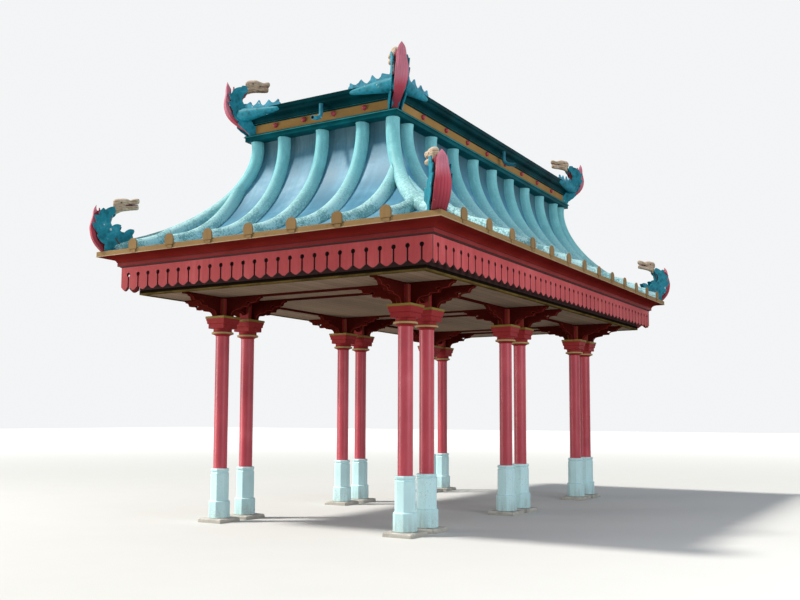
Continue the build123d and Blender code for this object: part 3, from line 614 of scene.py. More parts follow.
def dragon_paint(name, base):
    """Blue paint on cut boards: pale scuffs, faint overlapping scales and painted shade in the hollows
    between them.
    """
    s = Shade(name, Specular_IOR_Level=0.2)
    broad = s.noise(s.place, 5.0, 4.0, 0.6)
    fine = s.noise(s.place, 60.0, 5.0, 0.65)
    patch = s.noise(s.place, 13.0, 3.0, 0.5)
    scale = s.cells(s.stretched(s.place, 1, 1, 0.75), 17.0)
    tone = (broad * 0.7 + scale * 0.4).above(0.35, 0.75)
    body = s.mixed(tone, tint(base, 0.55), tint(base, 1.35, 0.01))
    # Painted shade: the edges of the scale cells, the hollows between scales, are darkened.
    body = s.mixed(scale.above(0.50, 0.78) * 0.4, body, tint(base, 0.35))
    pale = (fine * 0.35 + broad * 0.75).above(0.62, 0.70) * 0.35
    body = s.mixed(pale, body, (0.10, 0.36, 0.46))
    worn = (patch + fine * 0.12).above(0.765, 0.785)
    body = s.mixed(worn, body, (0.50, 0.62, 0.64))
    return s.finish(body, 0.42 + fine * 0.25 + worn * 0.3, scale * -1.2 + fine * 0.3, 0.35, 0.004)


def belly_paint(name, base):
    """Red paint, paler and pinker high up from fading and a painted highlight, and darker near the foot of
    each belly as painted shade.
    """
    s = Shade(name, Specular_IOR_Level=0.15)
    along = s.axis(s.chart, 1)
    runs = s.noise(s.stretched(s.chart, 1.0, 0.10, 1.0), 55.0, 5.0, 0.6)
    broad = s.noise(s.place, 6.0, 4.0, 0.6)
    fine = s.noise(s.place, 90.0, 4.0, 0.65)
    # Painted shade: darker towards the foot of the belly.
    body = s.mixed(along.above(0.0, 0.42), tint(base, 0.5), base)
    # Pink high up: partly faded paint, partly a painted highlight.
    fade_and_highlight = (along.above(0.20, 0.58) * (0.45 + runs * 0.9)).above(0.20, 0.90)
    body = s.mixed(fade_and_highlight * 0.75, body, (0.56, 0.22, 0.29))
    body = s.mixed(runs.above(0.54, 0.78) * 0.4, body, tint(base, 0.6))
    body = s.mixed((fine * 0.4 + broad).above(0.88, 0.94) * 0.5, body, (0.60, 0.40, 0.42))
    return s.finish(body, 0.50 + fine * 0.25, runs * 0.8 + fine * 0.2, 0.35, 0.002)


def bare_wood(name):
    """Wood that has lost its paint: grey and pink tan, long grain, cracks, a little old colour, and a painted
    highlight that makes faces looking upwards paler.
    """
    s = Shade(name, Specular_IOR_Level=0.25)
    grain = s.noise(s.stretched(s.place, 0.35, 0.35, 2.2), 34.0, 6.0, 0.62, 0.6)
    broad = s.noise(s.place, 9.0, 4.0, 0.6)
    fine = s.noise(s.place, 110.0, 4.0, 0.7)
    body = s.mixed(grain.above(0.33, 0.64), (0.26, 0.17, 0.10), (0.62, 0.48, 0.34))
    body = s.mixed(broad.above(0.48, 0.68) * 0.6, body, (0.68, 0.56, 0.45))
    # Painted highlight: faces that look upwards are made paler and pinker.
    body = s.mixed(s.facing_up().above(0.0, 0.8) * 0.5, body, (0.76, 0.64, 0.58))
    crack = (grain * 0.7 + fine * 0.35).above(0.66, 0.72)
    body = s.mixed(crack * 0.8, body, (0.07, 0.045, 0.03))
    return s.finish(body, 0.72 + fine * 0.2, grain * 1.2 - crack + fine * 0.3, 0.6, 0.004)


def plain_dark(name, base, rough):
    """A plain dark finish with a little variation: the paint of an eye, and painted shade in hollows,
    grooves, sawn edges and gaps.
    """
    s = Shade(name)
    fine = s.noise(s.place, 90.0, 3.0, 0.6)
    return s.finish(s.mixed(fine.above(0.3, 0.7), tint(base, 0.7), tint(base, 1.4)), rough + fine * 0.1)


def angles_of(sides, bevel, steps):
    """Angles round a polygon whose flats are square to the axes, leaving a narrow bevel at each corner."""
    middle = tau * np.arange(sides)[:, None] / sides
    return (middle + np.linspace(-1, 1, steps) * (math.pi / sides - bevel)).ravel()


def turned_stack(rows, angles, finish=0):
    """Rings one over another. A row is (sides, width across, level), and no sides mean a circle:
    a polygon's reach at an angle is half its width over the cosine of the angle from its flat."""
    rings = []
    for sides, width, level in rows:
        if sides:
            step = tau / sides
            reach = width / 2 / np.cos((angles + step / 2) % step - step / 2)
        else:
            reach = np.full(len(angles), width / 2)
        ring = (reach * np.cos(angles), reach * np.sin(angles), np.full(len(angles), level))
        rings.append(np.column_stack(ring))
    turns = np.append(angles, angles[0] + tau)
    chart = [[(turn * 0.1, row[2]) for turn in turns] for row in rows]
    return closed_tube(np.array(rings), chart, finish)


def ball(radii, around, across):
    """A ball or oval as rings from pole to pole: sines and cosines of two angles times three radii."""
    turn, circle = np.linspace(0, math.pi, across)[:, None], np.linspace(0, tau, around, endpoint=False)
    rings = (np.sin(turn) * np.cos(circle), np.sin(turn) * np.sin(circle), np.cos(turn) + 0 * circle)
    return np.stack(rings, axis=-1) * radii


def column_pairs(sizes):
    """Name, middle and column axes of each pair, front to back on the left and then on the right."""
    pairs = []
    for side, s in (("left", -1), ("right", 1)):
        for place, k in (("front", -1), ("middle", 0), ("back", 1)):
            x, y = s * sizes.row_gap / 2, k * sizes.bay
            axes = [(x, y + end * sizes.pair_gap / 2) for end in (-1, 1)]
            pairs.append((place + "_" + side, (x, y), axes))
    return pairs


def at_spots(form, spots):
    return joined(*[form.shifted(x, y) for x, y in spots])


def publish_rows(name, form, sizes, finishes, angle=32):
    """A form at every column, as one piece for each row."""
    for row in ("left", "right"):
        spots = [spot for pair, _, axes in column_pairs(sizes) for spot in axes if pair.endswith(row)]
        publish(row + "_row_" + name, at_spots(form, spots), finishes, [row + "_" + name], angle)


def frieze_half(context):
    """Half the width and half the length over the frieze, worked in from the edge of the eave."""
    eave, run = context.scene.pavilion_eave, context.scene.pavilion_roof.run
    return eave.half_x + eave.lap - run, eave.half_y + eave.lap - run


def rib_offsets(roof):
    """Places of the ribs along a long side and along a short side."""
    return (np.arange(13) - 6) * roof.long_pitch, (np.arange(7) - 3) * roof.short_pitch


# Pieces, one operator to each group
class Build:
    """What every operator shares"""

    bl_options = {"REGISTER", "UNDO"}


class PAVILION_OT_footings(Build, bpy.types.Operator):
    """Rough concrete pads and the eight-sided wooden plinths on them"""

    bl_idname = "pavilion.footings"
    bl_label = "Pads and plinths"

    def pads(self, sizes):
        """Square slabs, each corner point pulled in and sunk by its own random amount."""
        rng = np.random.default_rng(7)
        side, height = sizes.pad_side, sizes.pad_height
        rows = [(side, 0), (side, 0.35 * height), (side, 0.75 * height), (side - 0.02, 0.97 * height)]
        rows += [(side - 0.09, height), (0.24, height)]
        pad = turned_stack([(4, *row) for row in rows], angles_of(4, 0.03, 15))
        level = pad.points[:, 2]
        pads = []
        for x, y in [spot for _, _, axes in column_pairs(sizes) for spot in axes]:
            chipped = 0.030 * rng.random(len(level)) ** 2 + 0.008 * rng.random(len(level))
            sunk = 0.006 * rng.random(len(level)) * (level > 0.5 * height)
            flat = 1 - chipped * (level > 0.001)
            points = np.column_stack([pad.points[:, :2] * flat[:, None], level - sunk])
            pads.append(Form(points, pad.faces, pad.chart).shifted(x, y))
        return joined(*pads)

    def execute(self, context):
        sizes = context.scene.pavilion_columns
        paint = plinth_paint("Pale plinth paint", tuple(context.scene.pavilion_colours.plinth))
        pads, coats = self.pads(sizes), [concrete("Cast concrete")]
        publish("concrete_pads", pads, coats, ["footing_pads"], 24)
        base, flat = sizes.plinth_base, sizes.plinth_flat
        low, high, top = sizes.pad_height, sizes.shoulder, sizes.plinth_top
        rows = [(base - 0.006, low), (base, low + 0.004), (base, high), (base - 0.008, high + 0.005)]
        rows += [(flat + 0.002, high + 0.016), (flat, high + 0.022), (flat, top - 0.062)]
        rows += [(flat - 0.020, top - 0.050), (flat - 0.022, top - 0.045), (flat - 0.006, top - 0.038)]
        rows += [(flat + 0.002, top - 0.024), (flat, top - 0.008), (flat - 0.012, top)]
        plinth = turned_stack([(8, *row) for row in rows], angles_of(8, 0.02, 2))
        publish_rows("plinths", plinth, sizes, [paint], 19)
        return {"FINISHED"}


class PAVILION_OT_columns(Build, bpy.types.Operator):
    """Round shafts, capitals with gold edges and the square posts over them"""

    bl_idname = "pavilion.columns"
    bl_label = "Columns and capitals"

    def capital(self, sizes, around):
        """Flared neck with its ring, stepped block with a gold band, and the square post."""
        top = sizes.shaft_top
        rows = [(0, sizes.shaft + 0.108 * f**2.2, top - 0.038 + 0.032 * f) for f in np.linspace(0, 1, 6)]
        ring = ((0.292, -0.003), (0.292, 0.014), (0.286, 0.018), (0.246, 0.020), (0.244, 0.066))
        rows += [(0, width, top + rise) for width, rise in ring]
        red, gold, cream, shaded_gold = range(4)
        neck = turned_stack(rows, around, [red] * 5 + [cream] * 3 + [red] * 2)
        steps = [(0.268, 0.066), (0.273, 0.070), (0.273, 0.124), (0.296, 0.130)]
        steps += [(0.302, 0.136), (0.302, 0.152), (0.308, 0.164), (0.320, 0.180)]
        steps += [(0.322, 0.198), (0.335, 0.202), (0.335, 0.225), (0.330, 0.228)]
        rows = [(4, width, top + rise) for width, rise in steps]
        block = turned_stack(rows, angles_of(4, 0.02, 2), [red] * 8 + [gold] * 3)
        rows = [(4, sizes.post_side, top + 0.226), (4, sizes.post_side, sizes.post_top)]
        post = turned_stack(rows, angles_of(4, 0.045, 2))
        # The post's gold corner lines are darkened as painted shade between the brackets.
        post.finish[1:8:2] = shaded_gold
        return joined(neck, block, post)

    def execute(self, context):
        sizes = context.scene.pavilion_columns
        paints = context.scene.pavilion_colours
        around = np.linspace(0, tau, 40, endpoint=False)
        levels = np.linspace(sizes.plinth_top, sizes.shaft_top, 5)
        shaft = turned_stack([(0, sizes.shaft, level) for level in levels], around)
        red = weathered_paint(
            "Column red", tuple(paints.column), (1, 1, 0.10), 0.36, 0.35, 0.55, 0.05, (0.36, 0.20, 0.16)
        )
        for name, _, axes in column_pairs(sizes):
            node = name + "_columns"
            publish(node + "_painted", at_spots(shaft, axes), [red], [node])
        even, gold, cream = (1, 1, 1), tuple(paints.gold), (0.42, 0.31, 0.13)
        # Gold at 0.4 for the post corners: painted shade.
        shaded_gold = tint(gold, 0.4)
        coats = [
            weathered_paint(
                "Capital red", (0.29, 0.026, 0.028), (1, 1, 0.5), 0.45, 0.6, 0.15, 0.1, (0.2, 0.1, 0.08), 0.03
            ),
            weathered_paint("Gold edge", gold, even, 0.5, 0.7, 0.1, 0.2, (0.20, 0.07, 0.05), 0.1),
            weathered_paint("Cream edge", cream, even, 0.5, 0.7, 0.2, 0.2, (0.3, 0.12, 0.08), 0.1),
            weathered_paint("Post edge gold in painted shade", shaded_gold, even, 0.5, 0.7, 0.1, 0.2, (0.06, 0.02, 0.01), 0.0),
        ]
        publish_rows("capitals", self.capital(sizes, around), sizes, coats)
        return {"FINISHED"}


class PAVILION_OT_brackets(Build, bpy.types.Operator):
    """Stepped and curved bracket boards with a pierced eye, four ways round each post"""

    bl_idname = "pavilion.brackets"
    bl_label = "Brackets"

    def arm(self, sizes):
        """A board from the post outwards, whose lower edge climbs in three quarter-round steps."""
        inner, reach, top = sizes.post_side / 2, sizes.arm_reach, sizes.post_top
        outline = np.vstack(
            [
                [(inner, top - 0.237), (0.168, top - 0.237)],
                arc(0.245, top - 0.235, 0.078, 180, 95, 8),
                [(0.330, top - 0.144), (0.338, top - 0.128), (0.350, top - 0.122), (0.452, top - 0.122)],
                arc(0.500, top - 0.122, 0.045, 180, 100, 6),
                [(0.588, top - 0.068), (0.594, top - 0.060)],
                arc(0.640, top - 0.062, 0.042, 180, 100, 6),
                [(reach, top - 0.016), (reach, top - 0.001), (inner, top - 0.001)],
            ]
        )
        eye = arc(0, 0, 1, 0, 360, 17)[:-1] * (0.032, 0.012) + (0.455, top - 0.072)
        return board(outline, sizes.arm_width, 0.003, [eye], 0, 1)

    def short_arm(self, sizes):
        """The board between the two posts of a pair, with a flat arch under it."""
        half, top = (sizes.pair_gap - sizes.post_side) / 2, sizes.post_top
        curve = np.linspace(-1, 1, 13)
        arch = np.column_stack([curve * half, top - 0.124 - 0.046 * np.abs(curve) ** 2.5])
        arch = np.vstack([arch, [(half, top - 0.001), (-half, top - 0.001)]])
        return board(arch, sizes.arm_width, 0.003, (), 0, 1)

    def execute(self, context):
        sizes = context.scene.pavilion_columns
        dark = tuple(context.scene.pavilion_colours.bracket)
        arm, short, even = self.arm(sizes), self.short_arm(sizes), (1, 1, 1)
        # The bevelled edges take a lighter red as a painted highlight on the dark bracket red.
        coats = [
            weathered_paint("Bracket red", dark, even, 0.5, 0.4, 0.05, 0.12, (0.16, 0.06, 0.04), 0.0),
            weathered_paint(
                "Bracket edge painted highlight", (0.24, 0.024, 0.017), even, 0.5, 0.7, 0.1, 0.2, (0.16, 0.05, 0.04), 0.02
            ),
        ]
        for name, (x, y), axes in column_pairs(sizes):
            parts = []
            for spot, end in zip(axes, (-1, 1)):
                parts += [standing(arm, (*spot, 0), (side, 0, 0), out=(0, 1, 0)) for side in (1, -1)]
                parts.append(standing(arm, (*spot, 0), (0, end, 0)))
            parts.append(standing(short, (x, y, 0)))
            node = name + "_brackets"
            publish(node + "_carved", joined(*parts), coats, [node])
        return {"FINISHED"}


class PAVILION_OT_ceiling(Build, bpy.types.Operator):
    """Finishes of the ceiling boards, beams, trim and the dark boards under the eave"""

    bl_idname = "pavilion.ceiling"
    bl_label = "Ceiling"

    def execute(self, context):
        red = tint(tuple(context.scene.pavilion_colours.bracket), 0.9)
        low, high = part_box("ceiling_trim")
        coat("ceiling_boards", planks("Ceiling boards", (0.28, 0.20, 0.14), 0.14, 0))
        beam = weathered_paint("Beam red", red, (1, 0.12, 1), 0.5, 0.5, 0.05, 0.1, (0.16, 0.08, 0.05), 0.0)
        coat("ceiling_beams", beam)
        coat("ceiling_trim", edged_trim("Ochre trim", (0.155, 0.105, 0.032), low[2], high[2]))
        coat("soffit_frame", planks("Dark eave boards", (0.075, 0.042, 0.040), 0.15, 2, (0.02, 0.015, 0.015)))
        return {"FINISHED"}


class PAVILION_OT_valance(Build, bpy.types.Operator):
    """Four valance boards, cut into tabs by keyhole slots"""

    bl_idname = "pavilion.valance"
    bl_label = "Valance"

    def outline(self, span, pitch, sizes):
        """One board: tabs whose lower edge rises almost straight from a short flat in the middle, and
        between them narrow slots that end in a round hole."""
        count = int(2 * (span - 0.08) / pitch) + 1
        middles = (np.arange(count) - (count - 1) / 2) * pitch
        half, radius, rise, flat = sizes.slot / 2, sizes.hole / 2, 0.042, 0.16
        lean = math.degrees(math.asin(half / radius))
        hole = arc(0, sizes.bottom + 0.203, radius, 270 - lean, lean - 90, 13)
        edges = np.concatenate([[-span], middles, [span]])
        x = np.array([-1, -0.66, -0.36, -0.22, -0.10, 0.10, 0.22, 0.36, 0.66, 1])
        level = sizes.bottom + rise * np.maximum(np.abs(x) - flat, 0) ** 1.15 / (1 - flat) ** 1.15
        points = []
        for i, (start, end) in enumerate(zip(edges[:-1], edges[1:])):
            left = start + (half if i else 0)
            right = end - (half if i < count else 0)
            points.append(np.column_stack([(left + right) / 2 + x * (right - left) / 2, level]))
            if i < count:
                points.append(hole + (end, 0))
        points.append([(span, sizes.top - 0.001), (-span, sizes.top - 0.001)])
        return np.vstack(points)

    def execute(self, context):
        sizes = context.scene.pavilion_eave
        red, thickness = tuple(context.scene.pavilion_colours.valance), sizes.board
        coats = [
            weathered_paint("Valance red", red, (1, 1, 0.08), 0.5, 0.4, 0.4, 0.10, (0.45, 0.22, 0.20), 0.06),
            plain_dark("Sawn edge in painted shade", (0.028, 0.010, 0.009), 0.8),
        ]
        cuts = ((sizes.half_y - thickness - 0.0005, sizes.long_pitch), (sizes.half_x, sizes.short_pitch))
        # Every sawn edge of a board, slots and holes included, takes the nearly black finish: partly bare
        # sawn wood, partly painted shade.
        boards = [board(self.outline(*cut, sizes), thickness, 0.002, (), 0, 0, 1) for cut in cuts]
        for name, quarter, reach, _ in four_sides(sizes.half_x, sizes.half_y):
            spot = (reach - thickness / 2, 0, 0)
            part = standing(boards[quarter % 2], spot).turned(quarter)
            publish(name + "_tabbed_valance", part, coats, [name + "_valance"])
        return {"FINISHED"}


class PAVILION_OT_eave(Build, bpy.types.Operator):
    """Crown moulding, eave strip with its drip edge, and the round-headed plates that close the ribs"""

    bl_idname = "pavilion.eave"
    bl_label = "Eave"

    def cove(self, sizes):
        """A hollow quarter-oval over a square bead; the groove at its foot and the step over the bead are
        painted nearly black as painted shade.
        """
        low, high, back, rim = sizes.top, sizes.crown_top, -0.028, sizes.lap - 0.018
        sweep = np.radians(np.linspace(6, 90, 14))
        reach, rise = rim - 0.044, high - 0.004 - low - 0.064
        profile = np.vstack(
            [
                [(back, low + 0.002), (0.012, low + 0.002), (0.012, low + 0.012), (0.034, low + 0.013)],
                [(0.038, low + 0.017), (0.038, low + 0.056), (0.034, low + 0.060), (0.044, low + 0.062)],
                np.column_stack([0.044 + reach * (1 - np.cos(sweep)), low + 0.064 + rise * np.sin(sweep)]),
                [(rim + 0.003, high - 0.004), (rim + 0.003, high - 0.001), (back, high - 0.001)],
                [(back, low + 0.002)],
            ]
        )
        bead, joint = 1, 2
        finish = np.zeros(len(profile) - 1, dtype=int)
        # Painted shade: the groove and the step over the bead take the nearly black finish.
        finish[:7] = [joint, joint, joint, bead, bead, bead, joint]
        return moulding(sizes.half_x, sizes.half_y, profile, finish)

    def strip(self, sizes):
        """The flat strip round the eave and the thin drip edge along its foot."""
        lap, low, top, back = sizes.lap, sizes.crown_top, sizes.eave_top, -0.208
        strip = [(back, low), (lap - 0.004, low), (lap, low + 0.003), (lap, top - 0.004), (lap - 0.003, top)]
        strip += [(lap - 0.030, top), (lap - 0.030, low + 0.026), (back, low + 0.026), (back, low)]
        drip = [(lap - 0.002, low - 0.002), (lap + 0.004, low - 0.002), (lap + 0.005, low + 0.003)]
        drip += [(lap + 0.001, low + 0.006), (lap - 0.002, low + 0.006), (lap - 0.002, low - 0.002)]
        half = (sizes.half_x, sizes.half_y)
        return joined(moulding(*half, strip), moulding(*half, drip, 1))

    def plate(self, sizes):
        """A plate with a rounded head and a thin foot that lies on the strip."""
        half, head = sizes.cap_width / 2, 0.072
        turn = np.linspace(0, math.pi, 19)
        across = np.sign(np.cos(turn)) * np.abs(np.cos(turn)) ** 0.8 * half
        outline = np.column_stack([across, np.sin(turn) * head + (sizes.cap_height - head)])
        outline = np.vstack([[(-half + 0.004, 0), (half - 0.004, 0)], outline])
        foot = [(-0.030, 0.021 - sizes.cap_lap - 0.040), (0.050, -0.040), (0.050, -0.001), (-0.030, -0.001)]
        return joined(board(outline, 0.015, 0.003), board(foot, 0.010, 0.002).shifted(z=-0.002))

    def execute(self, context):
        sizes = context.scene.pavilion_eave
        paints = context.scene.pavilion_colours
        level_grain, bead_red, cream = (0.25, 0.25, 1), (0.21, 0.026, 0.026), (0.44, 0.34, 0.22)
        coats = [
            weathered_paint(
                "Cove red", tuple(paints.crown), level_grain, 0.45, 0.35, 0.05, 0.06, (0.22, 0.07, 0.05), 0.0
            ),
            weathered_paint("Bead red", bead_red, level_grain, 0.45, 0.5, 0.1, 0.1, (0.3, 0.1, 0.08), 0.02),
            plain_dark("Groove in painted shade", (0.030, 0.006, 0.005), 0.8),
        ]
        publish("eave_cove", self.cove(sizes), coats, ["crown_moulding"], 24)
        tan = tuple(paints.tan)
        coats = [
            weathered_paint("Tan strip", tan, (0.2, 0.2, 1), 0.55, 0.9, 0.2, 0.35, (0.12, 0.08, 0.05), 0.03),
            weathered_paint(
                "Cream drip edge", cream, (0.3, 0.3, 1), 0.5, 0.9, 0.2, 0.4, (0.2, 0.12, 0.07), 0.05
            ),
        ]
        publish("eave_strip", self.strip(sizes), coats, ["eave_frame"])
        wood = weathered_paint(
            "Plate tan", tint(tan, 0.92), (1, 1, 0.14), 0.55, 0.75, 0.3, 0.25, (0.16, 0.10, 0.06), 0.03
        )
        plate, offsets = self.plate(sizes), rib_offsets(context.scene.pavilion_roof)
        plates = []
        for _, quarter, reach, _ in four_sides(sizes.half_x, sizes.half_y):
            for y in offsets[quarter % 2]:
                spot = (reach + sizes.lap + 0.0075, y, sizes.eave_top - sizes.cap_lap)
                plates.append(standing(plate, spot).turned(quarter))
        publish("rib_end_plates", joined(*plates), [wood], ["rib_end_caps"], 40)
        return {"FINISHED"}


def roof_line(t, context):
    """Reach, level and normal of the swept curve, a cubic Bezier line from the cornice to the eave."""
    roof = context.scene.pavilion_roof
    eave = context.scene.pavilion_eave
    held = [(-0.099, roof.cornice_top - 0.005), (-0.219, roof.cornice_top - 0.546)]
    held += [(0.232 * roof.run, eave.crown_top + 0.269), (roof.run, eave.crown_top + 0.043)]
    t = np.asarray(t, dtype=float)[..., None]
    a, b, c, d = np.array(held)
    spot = a * (1 - t) ** 3 + 3 * b * t * (1 - t) ** 2 + 3 * c * t**2 * (1 - t) + d * t**3
    slope = 3 * ((b - a) * (1 - t) ** 2 + 2 * (c - b) * t * (1 - t) + (d - c) * t**2)
    slope /= np.linalg.norm(slope, axis=-1, keepdims=True)
    normal = np.stack([-slope[..., 1], slope[..., 0]], axis=-1)
    return spot[..., 0], spot[..., 1], normal


def run_down(t, context):
    """Metres along the curve from its top."""
    fine = np.linspace(0, 1, 400)
    r, z = roof_line(fine, context)[:2]
    return np.interp(t, fine, np.concatenate([[0], np.cumsum(np.hypot(np.diff(r), np.diff(z)))]))


def start_on_hip(past, context):
    """Where on the curve its reach equals a distance, for ribs that stop against a hip."""
    fine = np.linspace(0.16, 1, 300)
    r = roof_line(fine, context)[0]
    return np.where(past > r[0], np.interp(past, r, fine), 0.0)


class PAVILION_OT_roof(Build, bpy.types.Operator):
    """Swept sheets, round ribs down them and the rolls over the four hips"""

    bl_idname = "pavilion.roof"
    bl_label = "Swept roof"

    sheet_edge = 0.031  # from the edge of the eave in to the edge of a sheet or hip roll
    into_cornice = 0.012  # how far the rolls reach up behind the cornice
    wave = 5.3  # slow swelling of the rolls, in radians a metre

    def sheet(self, out, along, context):
        """One slope facing +X: points run between the hips, whose distance grows with the reach."""
        t = np.linspace(0, 1, 40)
        r, z, normal = roof_line(t, context)
        y = np.linspace(-1, 1, 61) * (along + r[:, None])
        edge = context.scene.pavilion_roof.run - self.sheet_edge
        skins = []
        for depth in (0, 0.028):
            reach = out + np.minimum(r - depth * normal[:, 0], edge)
            level = z - depth * normal[:, 1]
            reach, level = (np.broadcast_to(part[:, None], y.shape) for part in (reach, level))
            skins.append(np.stack([reach, y, level], axis=-1))
        chart = np.stack([y, np.broadcast_to(run_down(t, context)[:, None], y.shape)], axis=-1)
        return thick(*skins, chart)

    def rib(self, out, along, offset, context):
        """A roll whose section is half an oval; each of its lines starts where it meets the hip."""
        sizes = context.scene.pavilion_roof
        rows, columns = 44, 17
        turn = np.linspace(0, math.pi, columns)
        side = np.concatenate([-np.cos(turn), [0.5, -0.5]]) * sizes.rib_width / 2
        lift = np.concatenate([np.sin(turn) ** 0.85, [-0.1, -0.1]]) * sizes.rib_height
        first = np.maximum(start_on_hip(np.abs(offset + side) - along + 0.02, context), 0.018)
        t = first + np.linspace(0, 1, rows)[:, None] * (1 - first)
        r, z, normal = roof_line(t, context)
        way = run_down(t, context)
        bulge = 1 + 0.014 * np.sin(way * self.wave + offset * 9)
        high = lift * bulge
        reach = np.minimum(r + high * normal[..., 0], sizes.run - 0.0005)
        level = np.minimum(z + high * normal[..., 1], sizes.cornice_bottom + self.into_cornice)
        rings = np.stack([out + reach, offset + side * (0.5 + 0.5 * bulge), level], axis=-1)
        around = np.cumsum(np.hypot(np.diff(side, append=side[0]), np.diff(lift, append=lift[0])))
        around = np.broadcast_to(np.append(0, around) + offset, (rows, columns + 3))
        chart = np.stack([around, way[:, [*range(columns + 2), 0]]], axis=-1)
        return closed_tube(rings, chart)

    def hip(self, context):
        """The roll over the hip between +X and +Y: circles square to the curve over the diagonal."""
        sizes = context.scene.pavilion_roof
        out, along = frieze_half(context)
        t = np.linspace(0.012, 1, 52)
        r, z, normal = roof_line(t, context)
        slope = np.stack([normal[:, 1] * math.sqrt(2), -normal[:, 0]], axis=1)
        slope /= np.linalg.norm(slope, axis=1, keepdims=True)
        up_out, up = -slope[:, 1:], slope[:, :1]
        turn = np.linspace(0, tau, 24, endpoint=False)
        way = run_down(t, context)[:, None]
        radius = 0.088 * (1 + 0.012 * np.sin(way * self.wave))
        side, lift = radius * np.cos(turn), 0.040 + radius * np.sin(turn)
        diagonal, edge = lift * up_out / math.sqrt(2), sizes.run - self.sheet_edge
        x = out + np.minimum(r[:, None] + diagonal - side / math.sqrt(2), edge)
        y = along + np.minimum(r[:, None] + diagonal + side / math.sqrt(2), edge)
        level = np.minimum(z[:, None] + lift * up, sizes.cornice_bottom + self.into_cornice)
        turns = np.append(turn, tau) * 0.088
        chart = np.stack(np.broadcast_arrays(turns, way), axis=-1)
        return closed_tube(np.stack([x, y, level], axis=-1), chart)

    def execute(self, context):
        paints = context.scene.pavilion_colours
        offsets = rib_offsets(context.scene.pavilion_roof)
        sheet = pan_metal("Blue roof sheet", tuple(paints.pan))
        roll = rib_metal("Turquoise roof roll", tuple(paints.rib))
        for name, quarter, out, along in four_sides(*frieze_half(context)):
            part = self.sheet(out, along, context).turned(quarter)
            publish(name + "_swept_sheet", part, [sheet], [name + "_roof_pan"])
            ribs = joined(*[self.rib(out, along, y, context) for y in offsets[quarter % 2]]).turned(quarter)
            publish(name + "_rolled_ribs", ribs, [roll], [name + "_roof_ribs"], 50)
        corner = self.hip(context)
        hips = joined(*[corner.scaled(x, y) for x in (-1, 1) for y in (-1, 1)])
        publish("hip_rolled_ribs", hips, [roll], ["hip_rolls"], 50)
        return {"FINISHED"}


